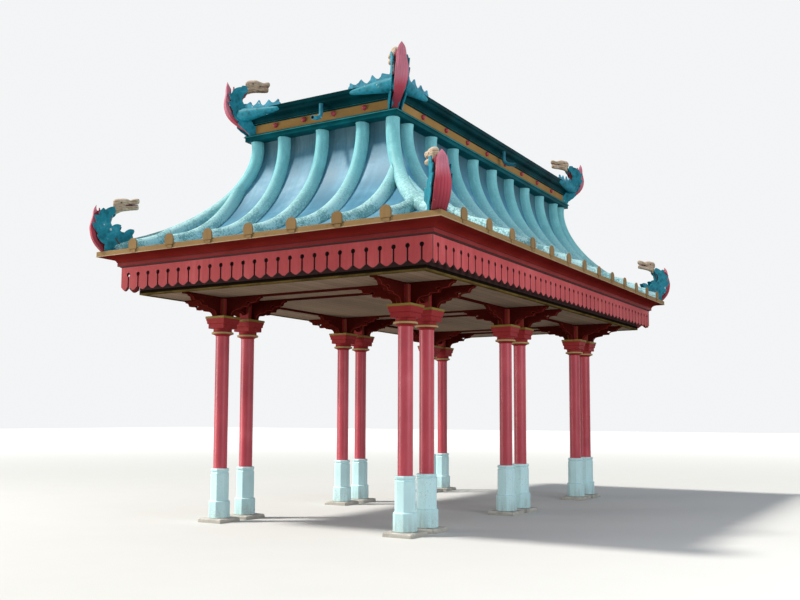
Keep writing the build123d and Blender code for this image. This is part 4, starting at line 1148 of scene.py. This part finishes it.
class PAVILION_OT_fascia(Build, bpy.types.Operator):
    """Cornice, frieze with red balls, moulded gutter and its curved spouts"""

    bl_idname = "pavilion.fascia"
    bl_label = "Fascia and gutter"

    def cornice(self, half, sizes):
        """A square moulding with a rounded bead along its middle, closed over the top of the roof; the bead
        is painted pale green as a painted highlight.
        """
        low, top, back = sizes.cornice_bottom, sizes.cornice_top, -0.325
        profile = [(back, low - 0.004), (0.036, low - 0.004), (0.040, low), (0.040, low + 0.048)]
        profile += [(0.052, low + 0.052), (0.055, low + 0.056), (0.055, low + 0.064), (0.046, low + 0.068)]
        profile += [(0.046, top + 0.011), (0.043, top + 0.014), (back, top + 0.014), (back, low - 0.004)]
        return moulding(*half, profile, [0, 0, 0, 0, 1, 1, 0, 0, 0, 0, 0])

    def balls(self, half, sizes):
        """Eight balls along each long side of the frieze and four along each short side."""
        one = closed_tube(ball(sizes.stud / 2, 16, 9)[..., [2, 0, 1]], ends=False)
        level = sizes.cornice_top + 0.68 * (sizes.frieze_top - sizes.cornice_top)
        rows = ((8, sizes.long_stud_pitch), (4, sizes.short_stud_pitch))
        balls = []
        for _, quarter, reach, _ in four_sides(*half):
            count, pitch = rows[quarter % 2]
            for i in range(count):
                spot = one.shifted(reach + 0.010, (i - (count - 1) / 2) * pitch, level)
                balls.append(spot.turned(quarter))
        return joined(*balls)

    def gutter(self, half, sizes):
        """A moulded gutter: a hollow below, a round above, a square rim and the trough inside."""
        low, rim, reach = sizes.frieze_top, sizes.gutter_top, sizes.gutter_reach
        bend = np.radians(np.linspace(0, 90, 7))
        profile = np.vstack(
            [
                [(-0.060, low), (0.018, low), (0.020, low + 0.003), (0.020, low + 0.012)],
                [(0.030, low + 0.013)],
                np.column_stack([0.030 + 0.056 * (1 - np.cos(bend)), low + 0.016 + 0.056 * np.sin(bend)]),
                [(0.090, low + 0.074)],
                np.column_stack([0.090 + 0.028 * np.sin(bend), low + 0.122 - 0.042 * np.cos(bend)]),
                [(0.124, low + 0.126), (reach, low + 0.134), (reach, rim - 0.004), (reach - 0.003, rim)],
                [(reach - 0.014, rim), (reach - 0.014, rim - 0.034), (0.030, low + 0.060)],
                [(-0.030, low + 0.060), (-0.030, rim - 0.002), (-0.060, rim - 0.002), (-0.060, low)],
            ]
        )
        # The fillet and the rim edge take the pale green as a painted highlight line.
        worn, fillet, rim_edge = 1, 3, 23
        finish = np.zeros(len(profile) - 1, dtype=int)
        finish[[fillet, rim_edge]] = worn
        return moulding(*half, profile, finish)

    def spouts(self, half, level):
        """A bent pipe near the middle of each side, with a hollow end whose inside is painted dark as painted
        shade.
        """
        radius, bore, steps = 0.028, 0.022, 18
        bends = [(0.100, 0.080), (0.100, 0.0), (0.102, -0.045), (0.120, -0.090), (0.165, -0.122)]
        path = smooth_line(bends + [(0.235, -0.142), (0.285, -0.150)], steps) + (0, level)
        slope = np.gradient(path, axis=0)
        slope /= np.linalg.norm(slope, axis=1, keepdims=True)
        path = np.vstack([path, path[-1], path[-1] - 0.05 * slope[-1]])
        slope = np.vstack([slope, slope[-1], slope[-1]])
        radii = np.append(np.full(steps, radius), [bore, bore])[:, None]
        turn = np.linspace(0, tau, 16, endpoint=False)
        reach = path[:, :1] - slope[:, 1:] * np.cos(turn) * radii
        height = path[:, 1:] + slope[:, :1] * np.cos(turn) * radii
        pipe = closed_tube(np.stack([reach, np.sin(turn) * radii, height], axis=-1), None, [0] * steps + [1])
        off_middle = (0.080, 0.105)
        pipes = []
        for _, quarter, reach, _ in four_sides(*half):
            pipes.append(pipe.shifted(reach, off_middle[quarter % 2]).turned(quarter))
        return joined(*pipes)

    def execute(self, context):
        sizes = context.scene.pavilion_roof
        paints = context.scene.pavilion_colours
        half = frieze_half(context)
        green = gloss_green("Dark green gloss", tuple(paints.green))
        teal = gloss_green("Cornice green", tint(tuple(paints.green), 2.3))
        # Pale green for edges and the bead: a painted highlight on the dark gloss.
        pale = gloss_green("Green edge painted highlight", (0.035, 0.20, 0.21))
        tan = weathered_paint(
            "Frieze tan", (0.33, 0.19, 0.062), (0.1, 0.1, 1), 0.5, 0.6, 0.3, 0.12, (0.25, 0.15, 0.08), 0.03
        )
        red = weathered_paint(
            "Ball red", tint(tuple(paints.column), 0.8), (1, 1, 1), 0.30, 0.3, 0.1, 0.1, (0.3, 0.12, 0.1), 0.2
        )
        # The bore of each spout is painted dark as painted shade.
        pipe = [
            dragon_paint("Spout teal", (0.02, 0.20, 0.28)),
            plain_dark("Pipe bore in painted shade", (0.012, 0.02, 0.022), 0.7),
        ]
        spouts = self.spouts(half, sizes.frieze_top)
        coat("frieze", tan)
        cornice = self.cornice(half, sizes)
        publish("moulded_cornice", cornice, [teal, pale], ["lower_cornice"])
        publish("frieze_balls", self.balls(half, sizes), [red], ["frieze_studs"], 60)
        publish("moulded_gutter", self.gutter(half, sizes), [green, pale], ["gutter"], 26)
        publish("bent_spouts", spouts, pipe, ["gutter_spouts"], 40)
        return {"FINISHED"}


class PAVILION_OT_top_roof(Build, bpy.types.Operator):
    """Shingle courses over the low hipped roof, with cap shingles on hips and ridge"""

    bl_idname = "pavilion.top_roof"
    bl_label = "Top roof"

    pitch = math.radians(17)  # slope of the roof
    margin = 0.032  # from the face of the frieze in to the foot of the slope

    def courses(self, out, along, sizes):
        """Overlapping courses from the gutter to the ridge, each thick at its foot and thin at its head."""
        exposure, cos, sin = sizes.shingle, math.cos(self.pitch), math.sin(self.pitch)
        slant = out / cos
        starts = slant - exposure * np.arange(int(slant / exposure), -1, -1)
        profile = [(-0.10, sizes.gutter_top - 0.028), (0.0, sizes.gutter_top - 0.028)]
        for start in np.maximum(starts, 0):
            for way, lift in ((start, 0.007), (min(start + exposure, slant), 0.002)):
                profile.append((-way * cos + lift * sin, sizes.gutter_top + way * sin + lift * cos))
        profile = np.array(profile)
        profile[:, 0] = np.maximum(profile[:, 0], -out)
        return moulding(out, along, profile)

    def caps(self, top, foot):
        """Bent shingles one over another along a line from its top to its foot."""
        top, foot = np.array(top, dtype=float), np.array(foot, dtype=float)
        way = foot - top
        steps = int(np.linalg.norm(way) / 0.13)
        ahead = way / np.linalg.norm(way)
        side = np.cross(ahead, (0, 0, 1))
        side /= np.linalg.norm(side)
        up = np.cross(side, ahead)
        bend = np.array([(-0.12, -0.030), (-0.055, -0.008), (0, 0.004), (0.055, -0.008), (0.12, -0.030)])
        across, sag = bend[:, :1] * side, bend[:, 1:]
        caps = []
        for i in range(steps):
            ends = [top + way * (i - 0.1) / steps, top + way * (i + 1) / steps]
            upper = np.array([p + across + (sag + lift) * up for p, lift in zip(ends, (0.002, 0.012))])
            chart = np.stack([np.broadcast_to(bend[:, 0], (2, 5)), np.full((2, 5), i * 0.3)], axis=-1)
            caps.append(thick(upper, upper - 0.005 * up, chart))
        return caps

    def execute(self, context):
        sizes = context.scene.pavilion_roof
        out, along = (half - self.margin for half in frieze_half(context))
        foot, rise = sizes.gutter_top + 0.008, sizes.gutter_top + out * math.tan(self.pitch) + 0.008
        caps = self.caps((0, along - out, rise), (0, out - along, rise))
        for y in (-1, 1):
            for x in (-1, 1):
                caps += self.caps((0, y * (along - out), rise), (x * out, y * along, foot))
        cover = shingles("Brown shingles")
        whole = joined(self.courses(out, along, sizes), *caps)
        publish("shingled_top", whole, [cover], ["top_roof"], 25)
        return {"FINISHED"}


def loft(stations, steps, sides, power, finish):
    """A carved form along its first axis. A row is (reach, low, high, half width); its rings are
    superellipses, whose height and width follow the sine and cosine raised to a power."""
    line = smooth_line(stations, steps)
    turn = np.linspace(0, tau, sides, endpoint=False)
    round_side = np.sign(np.cos(turn)) * np.abs(np.cos(turn)) ** power
    round_up = np.sign(np.sin(turn)) * np.abs(np.sin(turn)) ** power
    reach, low, high = line[:, :1], line[:, 1:2], line[:, 2:3]
    level = (low + high) / 2 + (high - low) / 2 * round_up
    rows = np.stack([np.broadcast_to(reach, level.shape), level, line[:, 3:] * round_side], axis=-1)
    chart = np.stack(np.broadcast_arrays(np.append(turn, tau) * 0.05, reach), axis=-1)
    return closed_tube(rows, chart, finish)


def curved_edges(outline, bulge):
    """Each long edge of an outline bowed outwards by a share of its length, as 4 t (1 - t)."""
    outline = np.asarray(outline, dtype=float)
    if area(outline) < 0:
        outline = outline[::-1]
    ahead = np.roll(outline, -1, axis=0) - outline
    normal = np.stack([ahead[:, 1], -ahead[:, 0]], axis=1)
    t = np.array([0.0, 0.25, 0.5, 0.75])
    bow = bulge * normal[:, None] * (4 * t * (1 - t))[:, None]
    return (outline[:, None] + ahead[:, None] * t[:, None] + bow).reshape(-1, 2)


# Dragons. Side boards, trunks and the gap behind a neck, which is a thin plate of painted shade, are outlines
# in millimetres. Each belly row is reach, level and half width, and each head row reach, low, high and half
# width, in metres. Reach runs inwards from the corner and level up from the foot.
UPPER = {
    "foot": 0.001,
    "front": -0.30,
    "side": [
        (6, -20), (-26, 40), (-76, 77), (-136, 123), (-170, 159), (-146, 189), (-197, 233), (-240, 292),
        (-231, 324), (-272, 387), (-297, 441), (-259, 461), (-279, 516), (-294, 565), (-259, 567),
        (-233, 625), (-166, 667), (-132, 673), (-112, 696), (-58, 696), (-38, 631), (-85, 576), (-114, 517),
        (-114, 483), (-91, 438), (-37, 445), (-12, 371), (18, 292), (52, 214), (85, 135), (84, 67), (71, 5),
        (51, -20),
    ],
    "trunk": [
        (46, 0), (-95, 131), (-183, 219), (-271, 430), (-259, 575), (-209, 640), (-108, 664), (-60, 660),
        (-60, 580), (-100, 548), (-108, 470), (-60, 430), (20, 260), (76, 120), (66, 0),
    ],
    "gap": [],
    "belly": [
        (0.014, 0.010, 0.038), (-0.040, 0.075, 0.047), (-0.125, 0.126, 0.056), (-0.210, 0.178, 0.064),
        (-0.283, 0.244, 0.076), (-0.335, 0.326, 0.085), (-0.357, 0.420, 0.085), (-0.350, 0.510, 0.072),
        (-0.336, 0.580, 0.062), (-0.336, 0.640, 0.055), (-0.328, 0.700, 0.040), (-0.312, 0.755, 0.004),
    ],
    "leaf": ((-0.246, 0.570), (-0.236, 0.682), 0.028),
    "brow": [
        (-0.066, 0.700, 0.765, 0.030), (-0.036, 0.676, 0.797, 0.043), (0.030, 0.676, 0.808, 0.047),
        (0.085, 0.694, 0.813, 0.045), (0.132, 0.724, 0.796, 0.041), (0.178, 0.728, 0.786, 0.040),
        (0.216, 0.730, 0.797, 0.040), (0.252, 0.734, 0.800, 0.030), (0.268, 0.754, 0.784, 0.006),
    ],
    "jaw": [
        (-0.054, 0.612, 0.700, 0.028), (-0.036, 0.612, 0.700, 0.042), (0.030, 0.636, 0.700, 0.045),
        (0.110, 0.646, 0.716, 0.044), (0.180, 0.650, 0.722, 0.041), (0.236, 0.658, 0.724, 0.034),
        (0.250, 0.676, 0.708, 0.008),
    ],
    "eye": (0.031, 0.748),
    "tongue": [(0.0, 0.696, 0.706, 0.020), (0.12, 0.715, 0.723, 0.024), (0.250, 0.722, 0.728, 0.014)],
}
LOWER = {
    "foot": 0.067,
    "front": -0.08,
    "side": [
        (108, 60), (105, 160), (67, 181), (36, 216), (8, 270), (21, 295), (-8, 328), (-32, 365), (-54, 431),
        (-1, 429), (-16, 484), (-35, 538), (18, 536), (44, 606), (74, 642), (103, 618), (136, 643),
        (173, 661), (204, 667), (223, 641), (223, 582), (174, 539), (160, 485), (167, 453), (188, 407),
        (237, 435), (274, 435), (303, 424), (285, 376), (292, 351), (313, 335), (344, 332), (381, 367),
        (406, 379), (437, 382), (469, 374), (438, 316), (451, 290), (443, 122), (331, 80), (213, 60),
    ],
    "trunk": [
        (110, 67), (14, 143), (-55, 258), (-81, 387), (-46, 560), (0, 604), (59, 620), (171, 630), (200, 600),
        (186, 546), (165, 467), (180, 400), (236, 396), (275, 350), (300, 310), (377, 280), (400, 180),
        (400, 67),
    ],
    "gap": [
        (226, 252), (242, 254), (275, 206), (306, 169), (334, 136), (322, 126), (290, 156), (258, 192),
        (229, 236),
    ],
    "belly": [
        (0.060, 0.070, 0.082), (0.031, 0.092, 0.084), (-0.032, 0.165, 0.090), (-0.072, 0.241, 0.093),
        (-0.092, 0.325, 0.091), (-0.098, 0.390, 0.083), (-0.085, 0.460, 0.074), (-0.066, 0.540, 0.066),
        (-0.062, 0.590, 0.058), (-0.050, 0.640, 0.038), (-0.021, 0.689, 0.004),
    ],
    "leaf": ((0.006, 0.530), (0.014, 0.644), 0.030),
    "brow": [
        (0.190, 0.680, 0.755, 0.030), (0.214, 0.655, 0.780, 0.044), (0.300, 0.672, 0.795, 0.048),
        (0.372, 0.708, 0.791, 0.044), (0.404, 0.715, 0.778, 0.041), (0.440, 0.722, 0.793, 0.042),
        (0.490, 0.728, 0.804, 0.040), (0.514, 0.738, 0.800, 0.028), (0.523, 0.758, 0.780, 0.006),
    ],
    "jaw": [
        (0.206, 0.584, 0.690, 0.028), (0.226, 0.582, 0.690, 0.043), (0.298, 0.620, 0.690, 0.047),
        (0.396, 0.640, 0.700, 0.044), (0.470, 0.650, 0.708, 0.042), (0.504, 0.656, 0.708, 0.034),
        (0.515, 0.674, 0.698, 0.008),
    ],
    "eye": (0.294, 0.730),
    "tongue": [(0.27, 0.682, 0.696, 0.022), (0.40, 0.704, 0.712, 0.026), (0.508, 0.714, 0.721, 0.014)],
}
RED, BLUE, WOOD, DARK, TONGUE, TRUNK, CREST = range(7)  # places of a dragon's finishes


class PAVILION_OT_dragons(Build, bpy.types.Operator):
    """Eight dragons on the corners: fluted red belly, saw-toothed blue sides and a bare carved head"""

    bl_idname = "pavilion.dragons"
    bl_label = "Dragons"

    def belly(self, stations, sizes):
        """A bowed front: across it the depth follows a flattened circle, with five soft grooves down it."""
        line = smooth_line(stations, 34)
        u = np.linspace(-1, 1, 41)
        reach, level, half = line[:, :1], line[:, 1:2], np.maximum(line[:, 2:3], 0.004)
        under_tip = level[-1] - level
        grooves = (0.5 + 0.5 * np.cos(5 * math.pi * u)) ** 3 * np.clip(under_tip * 12, 0, 1)
        depth = half * 0.42 * (1 - np.sqrt(1 - (0.94 * u) ** 2)) + sizes.flute * grooves * half / 0.09
        front = np.stack(np.broadcast_arrays(reach + depth, level, half * u), axis=-1)
        thickness = 0.074 * np.clip(under_tip * 9, 0.05, 1)
        back = np.stack(np.broadcast_arrays(reach + thickness, level, half * (0.9, 0.0, -0.9)), axis=-1)
        rings = np.concatenate([front, back], axis=1)
        chart = np.zeros((len(line), rings.shape[1] + 1, 2))
        chart[:, : len(u), 0] = half * u
        chart[..., 1] = along_line(line[:, :2])[:, None]
        return closed_tube(rings, chart, RED)

    def petal(self, root, tip, half, side):
        """A small pointed leaf behind the belly's tip, widest a third of the way up."""
        t = np.linspace(0, 1, 12)[:, None]
        u = np.linspace(-1, 1, 9)
        wide = half * np.sin(math.pi * (0.22 + 0.78 * t)) ** 0.8
        reach = root[0] + (tip[0] - root[0]) * t + 0.3 * wide * u**2
        level = root[1] + (tip[1] - root[1]) * t + 0 * u
        across = side * (0.034 + 0.010 * t) + wide * u
        front = np.stack([reach, level, across], axis=-1)
        chart = np.stack([across, level * 0 + 0.45 + 0.1 * t], axis=-1)
        return thick(front, front + (0.014, 0, 0), chart, RED)

    def closed_in(self, form, front, side, sizes):
        """Moved across by the taper times the distance behind the front edge, and by a tenth of the width
        over the height of the neck. Side 0 narrows both sides alike."""

        def change(points):
            back = sizes.taper * (points[:, 0] - front)
            rise = 0.12 * sizes.half_width * np.clip((points[:, 1] - 0.06) / 0.60, 0, 1)
            share = side if side else points[:, 2] / sizes.half_width
            return points - np.column_stack([0 * back, 0 * back, share * (back + rise)])

        return form.changed(change)

    def body(self, shape, sizes):
        """Two toothed boards that close in towards the back and the top, the trunk between them, red in front
        where it shows beside the belly, and thin dark plates of painted shade for the gap behind a neck."""
        front = shape["front"]
        cut = curved_edges(np.array(shape["side"]) / 1000, 0.05)
        cut[:, 1] = np.maximum(cut[:, 1], shape["foot"])
        plate = board(cut, sizes.board, 0.003, (), BLUE)
        plates = [(plate, sizes.half_width - sizes.board / 2)]
        # The gap behind a neck is a thin dark plate: painted shade.
        if shape["gap"]:
            gap = board(np.array(shape["gap"]) / 1000, 0.002, 0.0004, (), DARK)
            plates.append((gap, sizes.half_width + 0.0008))
        parts = []
        for form, middle in plates:
            for side in (-1, 1):
                parts.append(self.closed_in(form.shifted(z=side * middle), front, side, sizes))
        trunk = board(np.array(shape["trunk"]) / 1000, 0.150, 0.004, (), TRUNK)
        behind = trunk.points[trunk.faces][:, :, 0].min(axis=1) > front + 0.20
        trunk.finish = np.where(behind, BLUE, trunk.finish)
        return [*parts, self.closed_in(trunk, front, 0, sizes)]

    def head(self, shape, sizes):
        """Two carved jaws with eyes, a dark oval at each corner of the mouth as the painted shade of a hole,
        and a thin tongue between.
        """
        brow, jaw, tongue = shape["brow"], shape["jaw"], shape["tongue"]
        parts = [loft(brow, 30, 22, 0.75, WOOD), loft(jaw, 26, 20, 0.75, WOOD)]
        parts.append(loft(tongue, 12, 12, 0.9, TONGUE))
        eye, corner = ball((0.013, 0.011, 0.008), 12, 7), ball((0.007, 0.006, 0.009), 12, 7)
        for side in (-1, 1):
            spot = (*shape["eye"], side * 0.45 * sizes.head)
            parts.append(closed_tube(eye + spot, None, DARK, False))
            # Dark ovals at the corners of the mouth: painted shade of holes.
            spot = (brow[4][0], brow[4][1] + 0.002, side * 0.039)
            parts.append(closed_tube(corner + spot, None, DARK, False))
        return parts

    def figure(self, shape, sizes):
        """One dragon without its tail: reach inwards, level and width across."""
        parts = [self.belly(shape["belly"], sizes)]
        parts += [self.petal(*shape["leaf"], side) for side in (-1, 1)]
        return joined(*parts, *self.body(shape, sizes), *self.head(shape, sizes))

    def tail(self, out, along, roof):
        """A tapered roll along the front of the gutter, with a crest of hooked waves: each rises as the
        distance along it to the power 1.8 and drops steeply behind its tip."""
        corner, level = -(along + roof.gutter_reach), roof.gutter_top - 0.050
        stations = [(-0.005, 0.092), (0.080, 0.098), (0.220, 0.090), (0.380, 0.072)]
        stations += [(0.540, 0.053), (0.660, 0.038), (0.720, 0.024), (0.742, 0.006)]
        line = smooth_line(stations, 26)
        way, radius = line[:, :1], line[:, 1:]
        turn = np.linspace(0, tau, 20, endpoint=False)
        x = out + roof.gutter_reach - 0.017 + radius * np.cos(turn)
        rings = np.stack(np.broadcast_arrays(x, corner + way, level + radius * np.sin(turn) * 0.98), axis=-1)
        dips = np.array([(0.0, 0.060), (0.300, 0.052), (0.466, 0.027), (0.640, 0.038), (0.759, 0.015)])
        tips = np.array([(0.245, 0.115), (0.392, 0.117), (0.560, 0.093), (0.718, 0.075)])
        part = np.linspace(0, 1, 9)[:, None]
        waves = []
        for dip, tip, after in zip(dips[:-1], tips, dips[1:]):
            waves.append(dip + (tip - dip) * np.hstack([part, part**1.8]))
            waves.append([tip + (0.014, -0.010), tip + (after - tip) * (0.42, 0.62)])
        outline = np.vstack([*waves, dips[-1:]]) + (corner, roof.gutter_top)
        outline = np.vstack([outline, [(corner + 0.74, level), (corner, level)]])
        crest = board(outline, 0.022, 0.003, (), CREST)
        crest = standing(crest, (out + roof.gutter_reach - 0.012, 0, 0))
        return [closed_tube(rings, None, BLUE), crest]

    def execute(self, context):
        sizes = context.scene.pavilion_dragons
        roof = context.scene.pavilion_roof
        eave = context.scene.pavilion_eave
        paints = context.scene.pavilion_colours
        out, along = frieze_half(context)
        coats = [
            belly_paint("Belly red", tuple(paints.belly)),
            dragon_paint("Dragon blue", tuple(paints.scale)),
            bare_wood("Bare carved wood"),
            plain_dark("Eye paint and painted shade", (0.02, 0.015, 0.015), 0.35),
            weathered_paint("Tongue", (0.25, 0.03, 0.08), (1, 1, 1), 0.5, 0.4, 0.3, 0.2, (0.5, 0.4, 0.35)),
            weathered_paint(
                "Trunk red", (0.24, 0.028, 0.04), (1, 1, 0.3), 0.5, 0.6, 0.1, 0.1, (0.3, 0.12, 0.1), 0.05
            ),
            dragon_paint("Pale crest blue", (0.05, 0.28, 0.40)),
        ]
        diagonal, up = math.sqrt(0.5), (0, 0, 1)
        inwards, sideways = (-diagonal, diagonal, 0), (diagonal, diagonal, 0)
        high = [standing(self.figure(UPPER, sizes), (out, -along, roof.cornice_top), inwards, up, sideways)]
        high += self.tail(out, along, roof)
        high += [part.turned(3).scaled(x=-1) for part in self.tail(along, out, roof)]
        corner = (eave.half_x + eave.lap, -eave.half_y - eave.lap, eave.crown_top)
        low = standing(self.figure(LOWER, sizes), corner, inwards, up, sideways)
        for name, whole in (("upper", joined(*high)), ("lower", low)):
            for end, y in (("front", 1), ("back", -1)):
                for side, x in (("right", 1), ("left", -1)):
                    node = f"{end}_{side}_{name}_dragon"
                    publish(node + "_carved", whole.scaled(x, y), coats, [node], 38)
        return {"FINISHED"}


class PAVILION_OT_stage(Build, bpy.types.Operator):
    """Pale floor and surroundings, lamps and the camera of the photograph"""

    bl_idname = "pavilion.stage"
    bl_label = "Stage"

    def floor(self, scene):
        """A wide plate: grey to the light it gives back, pale to the camera and in reflections, and almost
        white far away."""
        mesh, half = bpy.data.meshes.new("floor"), 80
        corners = [(x, y, -0.001) for x, y in ((-half, -half), (half, -half), (half, half), (-half, half))]
        mesh.from_pydata(corners, [], [(0, 1, 2, 3)])
        floor = bpy.data.objects.new("floor", mesh)
        scene.collection.objects.link(floor)
        s = Shade("Pale floor")
        mottle = s.noise(s.place, 1.5, 3.0, 0.5)
        rays = s.node("ShaderNodeLightPath")
        camera, glossy, transmission = rays[0], rays[3], rays[6]
        seen = (camera + glossy + transmission).above(0.4, 0.6)
        far = (s.axis(s.place, 0) ** 2 + s.axis(s.place, 1) ** 2) ** 0.5
        pale = s.mixed(mottle, (0.66, 0.66, 0.65), (0.69, 0.69, 0.68))
        pale = s.mixed(far.above(8.0, 40.0), pale, (0.97, 0.98, 0.99))
        mesh.materials.append(s.finish(s.mixed(seen, (0.36, 0.36, 0.35), pale), mottle * 0.05 + 0.85))

    def surroundings(self, scene):
        """A soft sky that lights the part, and a pale background for the camera and in reflections."""
        world = bpy.data.worlds.new("Pale surroundings")
        world.use_nodes = True
        scene.world = world
        nodes, links = world.node_tree.nodes, world.node_tree.links
        sky, pale = nodes["Background"], nodes.new("ShaderNodeBackground")
        for light, tone, strength in ((sky, (0.80, 0.90, 1.0, 1), 0.36), (pale, (0.90, 0.91, 0.92, 1), 1.0)):
            light.inputs["Color"].default_value = tone
            light.inputs["Strength"].default_value = strength
        path, mix = nodes.new("ShaderNodeLightPath"), nodes.new("ShaderNodeMixShader")
        either, seen = nodes.new("ShaderNodeMath"), nodes.new("ShaderNodeMath")
        either.operation = seen.operation = "MAXIMUM"
        for start, end in (
            (path.outputs["Is Camera Ray"], either.inputs[0]),
            (path.outputs["Is Glossy Ray"], either.inputs[1]),
            (either.outputs[0], seen.inputs[0]),
            (path.outputs["Is Transmission Ray"], seen.inputs[1]),
            (seen.outputs[0], mix.inputs[0]),
            (sky.outputs[0], mix.inputs[1]),
            (pale.outputs[0], mix.inputs[2]),
            (mix.outputs[0], nodes["World Output"].inputs[0]),
        ):
            links.new(start, end)

    def lamp(self, name, kind, energy, place, aim, size, tone):
        """A lamp at a place, turned towards a point. A sun's size is its angle."""
        light = bpy.data.lights.new(name, kind)
        light.energy = energy
        light.color = tone
        setattr(light, "angle" if kind == "SUN" else "size", size)
        lamp = bpy.data.objects.new(name, light)
        lamp.location = place
        lamp.rotation_euler = (Vector(aim) - Vector(place)).to_track_quat("-Z", "Y").to_euler()
        bpy.context.scene.collection.objects.link(lamp)

    def camera(self, scene):
        """The camera fitted to the photograph: turned about Z, tipped up from the level, rolled a little."""
        heading, tip, roll = 0.53266, math.pi / 2 + 0.0832, 0.0033
        camera = bpy.data.objects.new("camera", bpy.data.cameras.new("camera"))
        camera.data.lens = 41.649
        camera.data.shift_y = 0.05
        camera.location = (6.93938, -12.64464, 1.38479)
        turn = Matrix.Rotation(heading, 3, "Z") @ Matrix.Rotation(tip, 3, "X")
        camera.rotation_euler = (turn @ Matrix.Rotation(roll, 3, "Z")).to_euler()
        scene.collection.objects.link(camera)
        scene.camera = camera

    def execute(self, context):
        scene = context.scene
        self.floor(scene)
        self.surroundings(scene)
        self.lamp("sun", "SUN", 3.5, (-6, -4.2, 10), (0, 0, 0), 0.12, (1, 0.96, 0.88))
        self.lamp("left_sky", "AREA", 1400, (-12, -11, 2.0), (0.5, -2, 1.2), 5, (1, 0.97, 0.92))
        self.lamp("right_sky", "AREA", 850, (14, -5, 4), (0, 0, 2.8), 7, (0.94, 0.97, 1))
        self.camera(scene)
        scene.view_settings.view_transform = "Standard"
        return {"FINISHED"}


class PAVILION_PT_panel(bpy.types.Panel):
    """Buttons for the pieces of the pavilion"""

    bl_label = "Pavilion"
    bl_idname = "PAVILION_PT_panel"
    bl_space_type = "VIEW_3D"
    bl_region_type = "UI"
    bl_category = "Pavilion"

    def draw(self, context):
        for step in steps:
            self.layout.operator(step.bl_idname)
        for group in groups:
            box = self.layout.box()
            for key in groups[group].__annotations__:
                box.prop(getattr(context.scene, group), key)


steps = (
    PAVILION_OT_footings,
    PAVILION_OT_columns,
    PAVILION_OT_brackets,
    PAVILION_OT_ceiling,
    PAVILION_OT_valance,
    PAVILION_OT_eave,
    PAVILION_OT_roof,
    PAVILION_OT_fascia,
    PAVILION_OT_top_roof,
    PAVILION_OT_dragons,
    PAVILION_OT_stage,
)
groups = {
    "pavilion_columns": ColumnSizes,
    "pavilion_eave": EaveSizes,
    "pavilion_roof": RoofSizes,
    "pavilion_dragons": DragonSizes,
    "pavilion_colours": PavilionColours,
}


def register():
    for kind in (*groups.values(), *steps, PAVILION_PT_panel):
        bpy.utils.register_class(kind)
    for name, kind in groups.items():
        setattr(bpy.types.Scene, name, bpy.props.PointerProperty(type=kind))


def unregister():
    for name in groups:
        delattr(bpy.types.Scene, name)
    for kind in (PAVILION_PT_panel, *reversed(steps), *reversed(groups.values())):
        bpy.utils.unregister_class(kind)


def main():
    register()
    for step in steps:
        area_name, operator = step.bl_idname.split(".")
        getattr(getattr(bpy.ops, area_name), operator)()


if __name__ == "__main__":
    main()
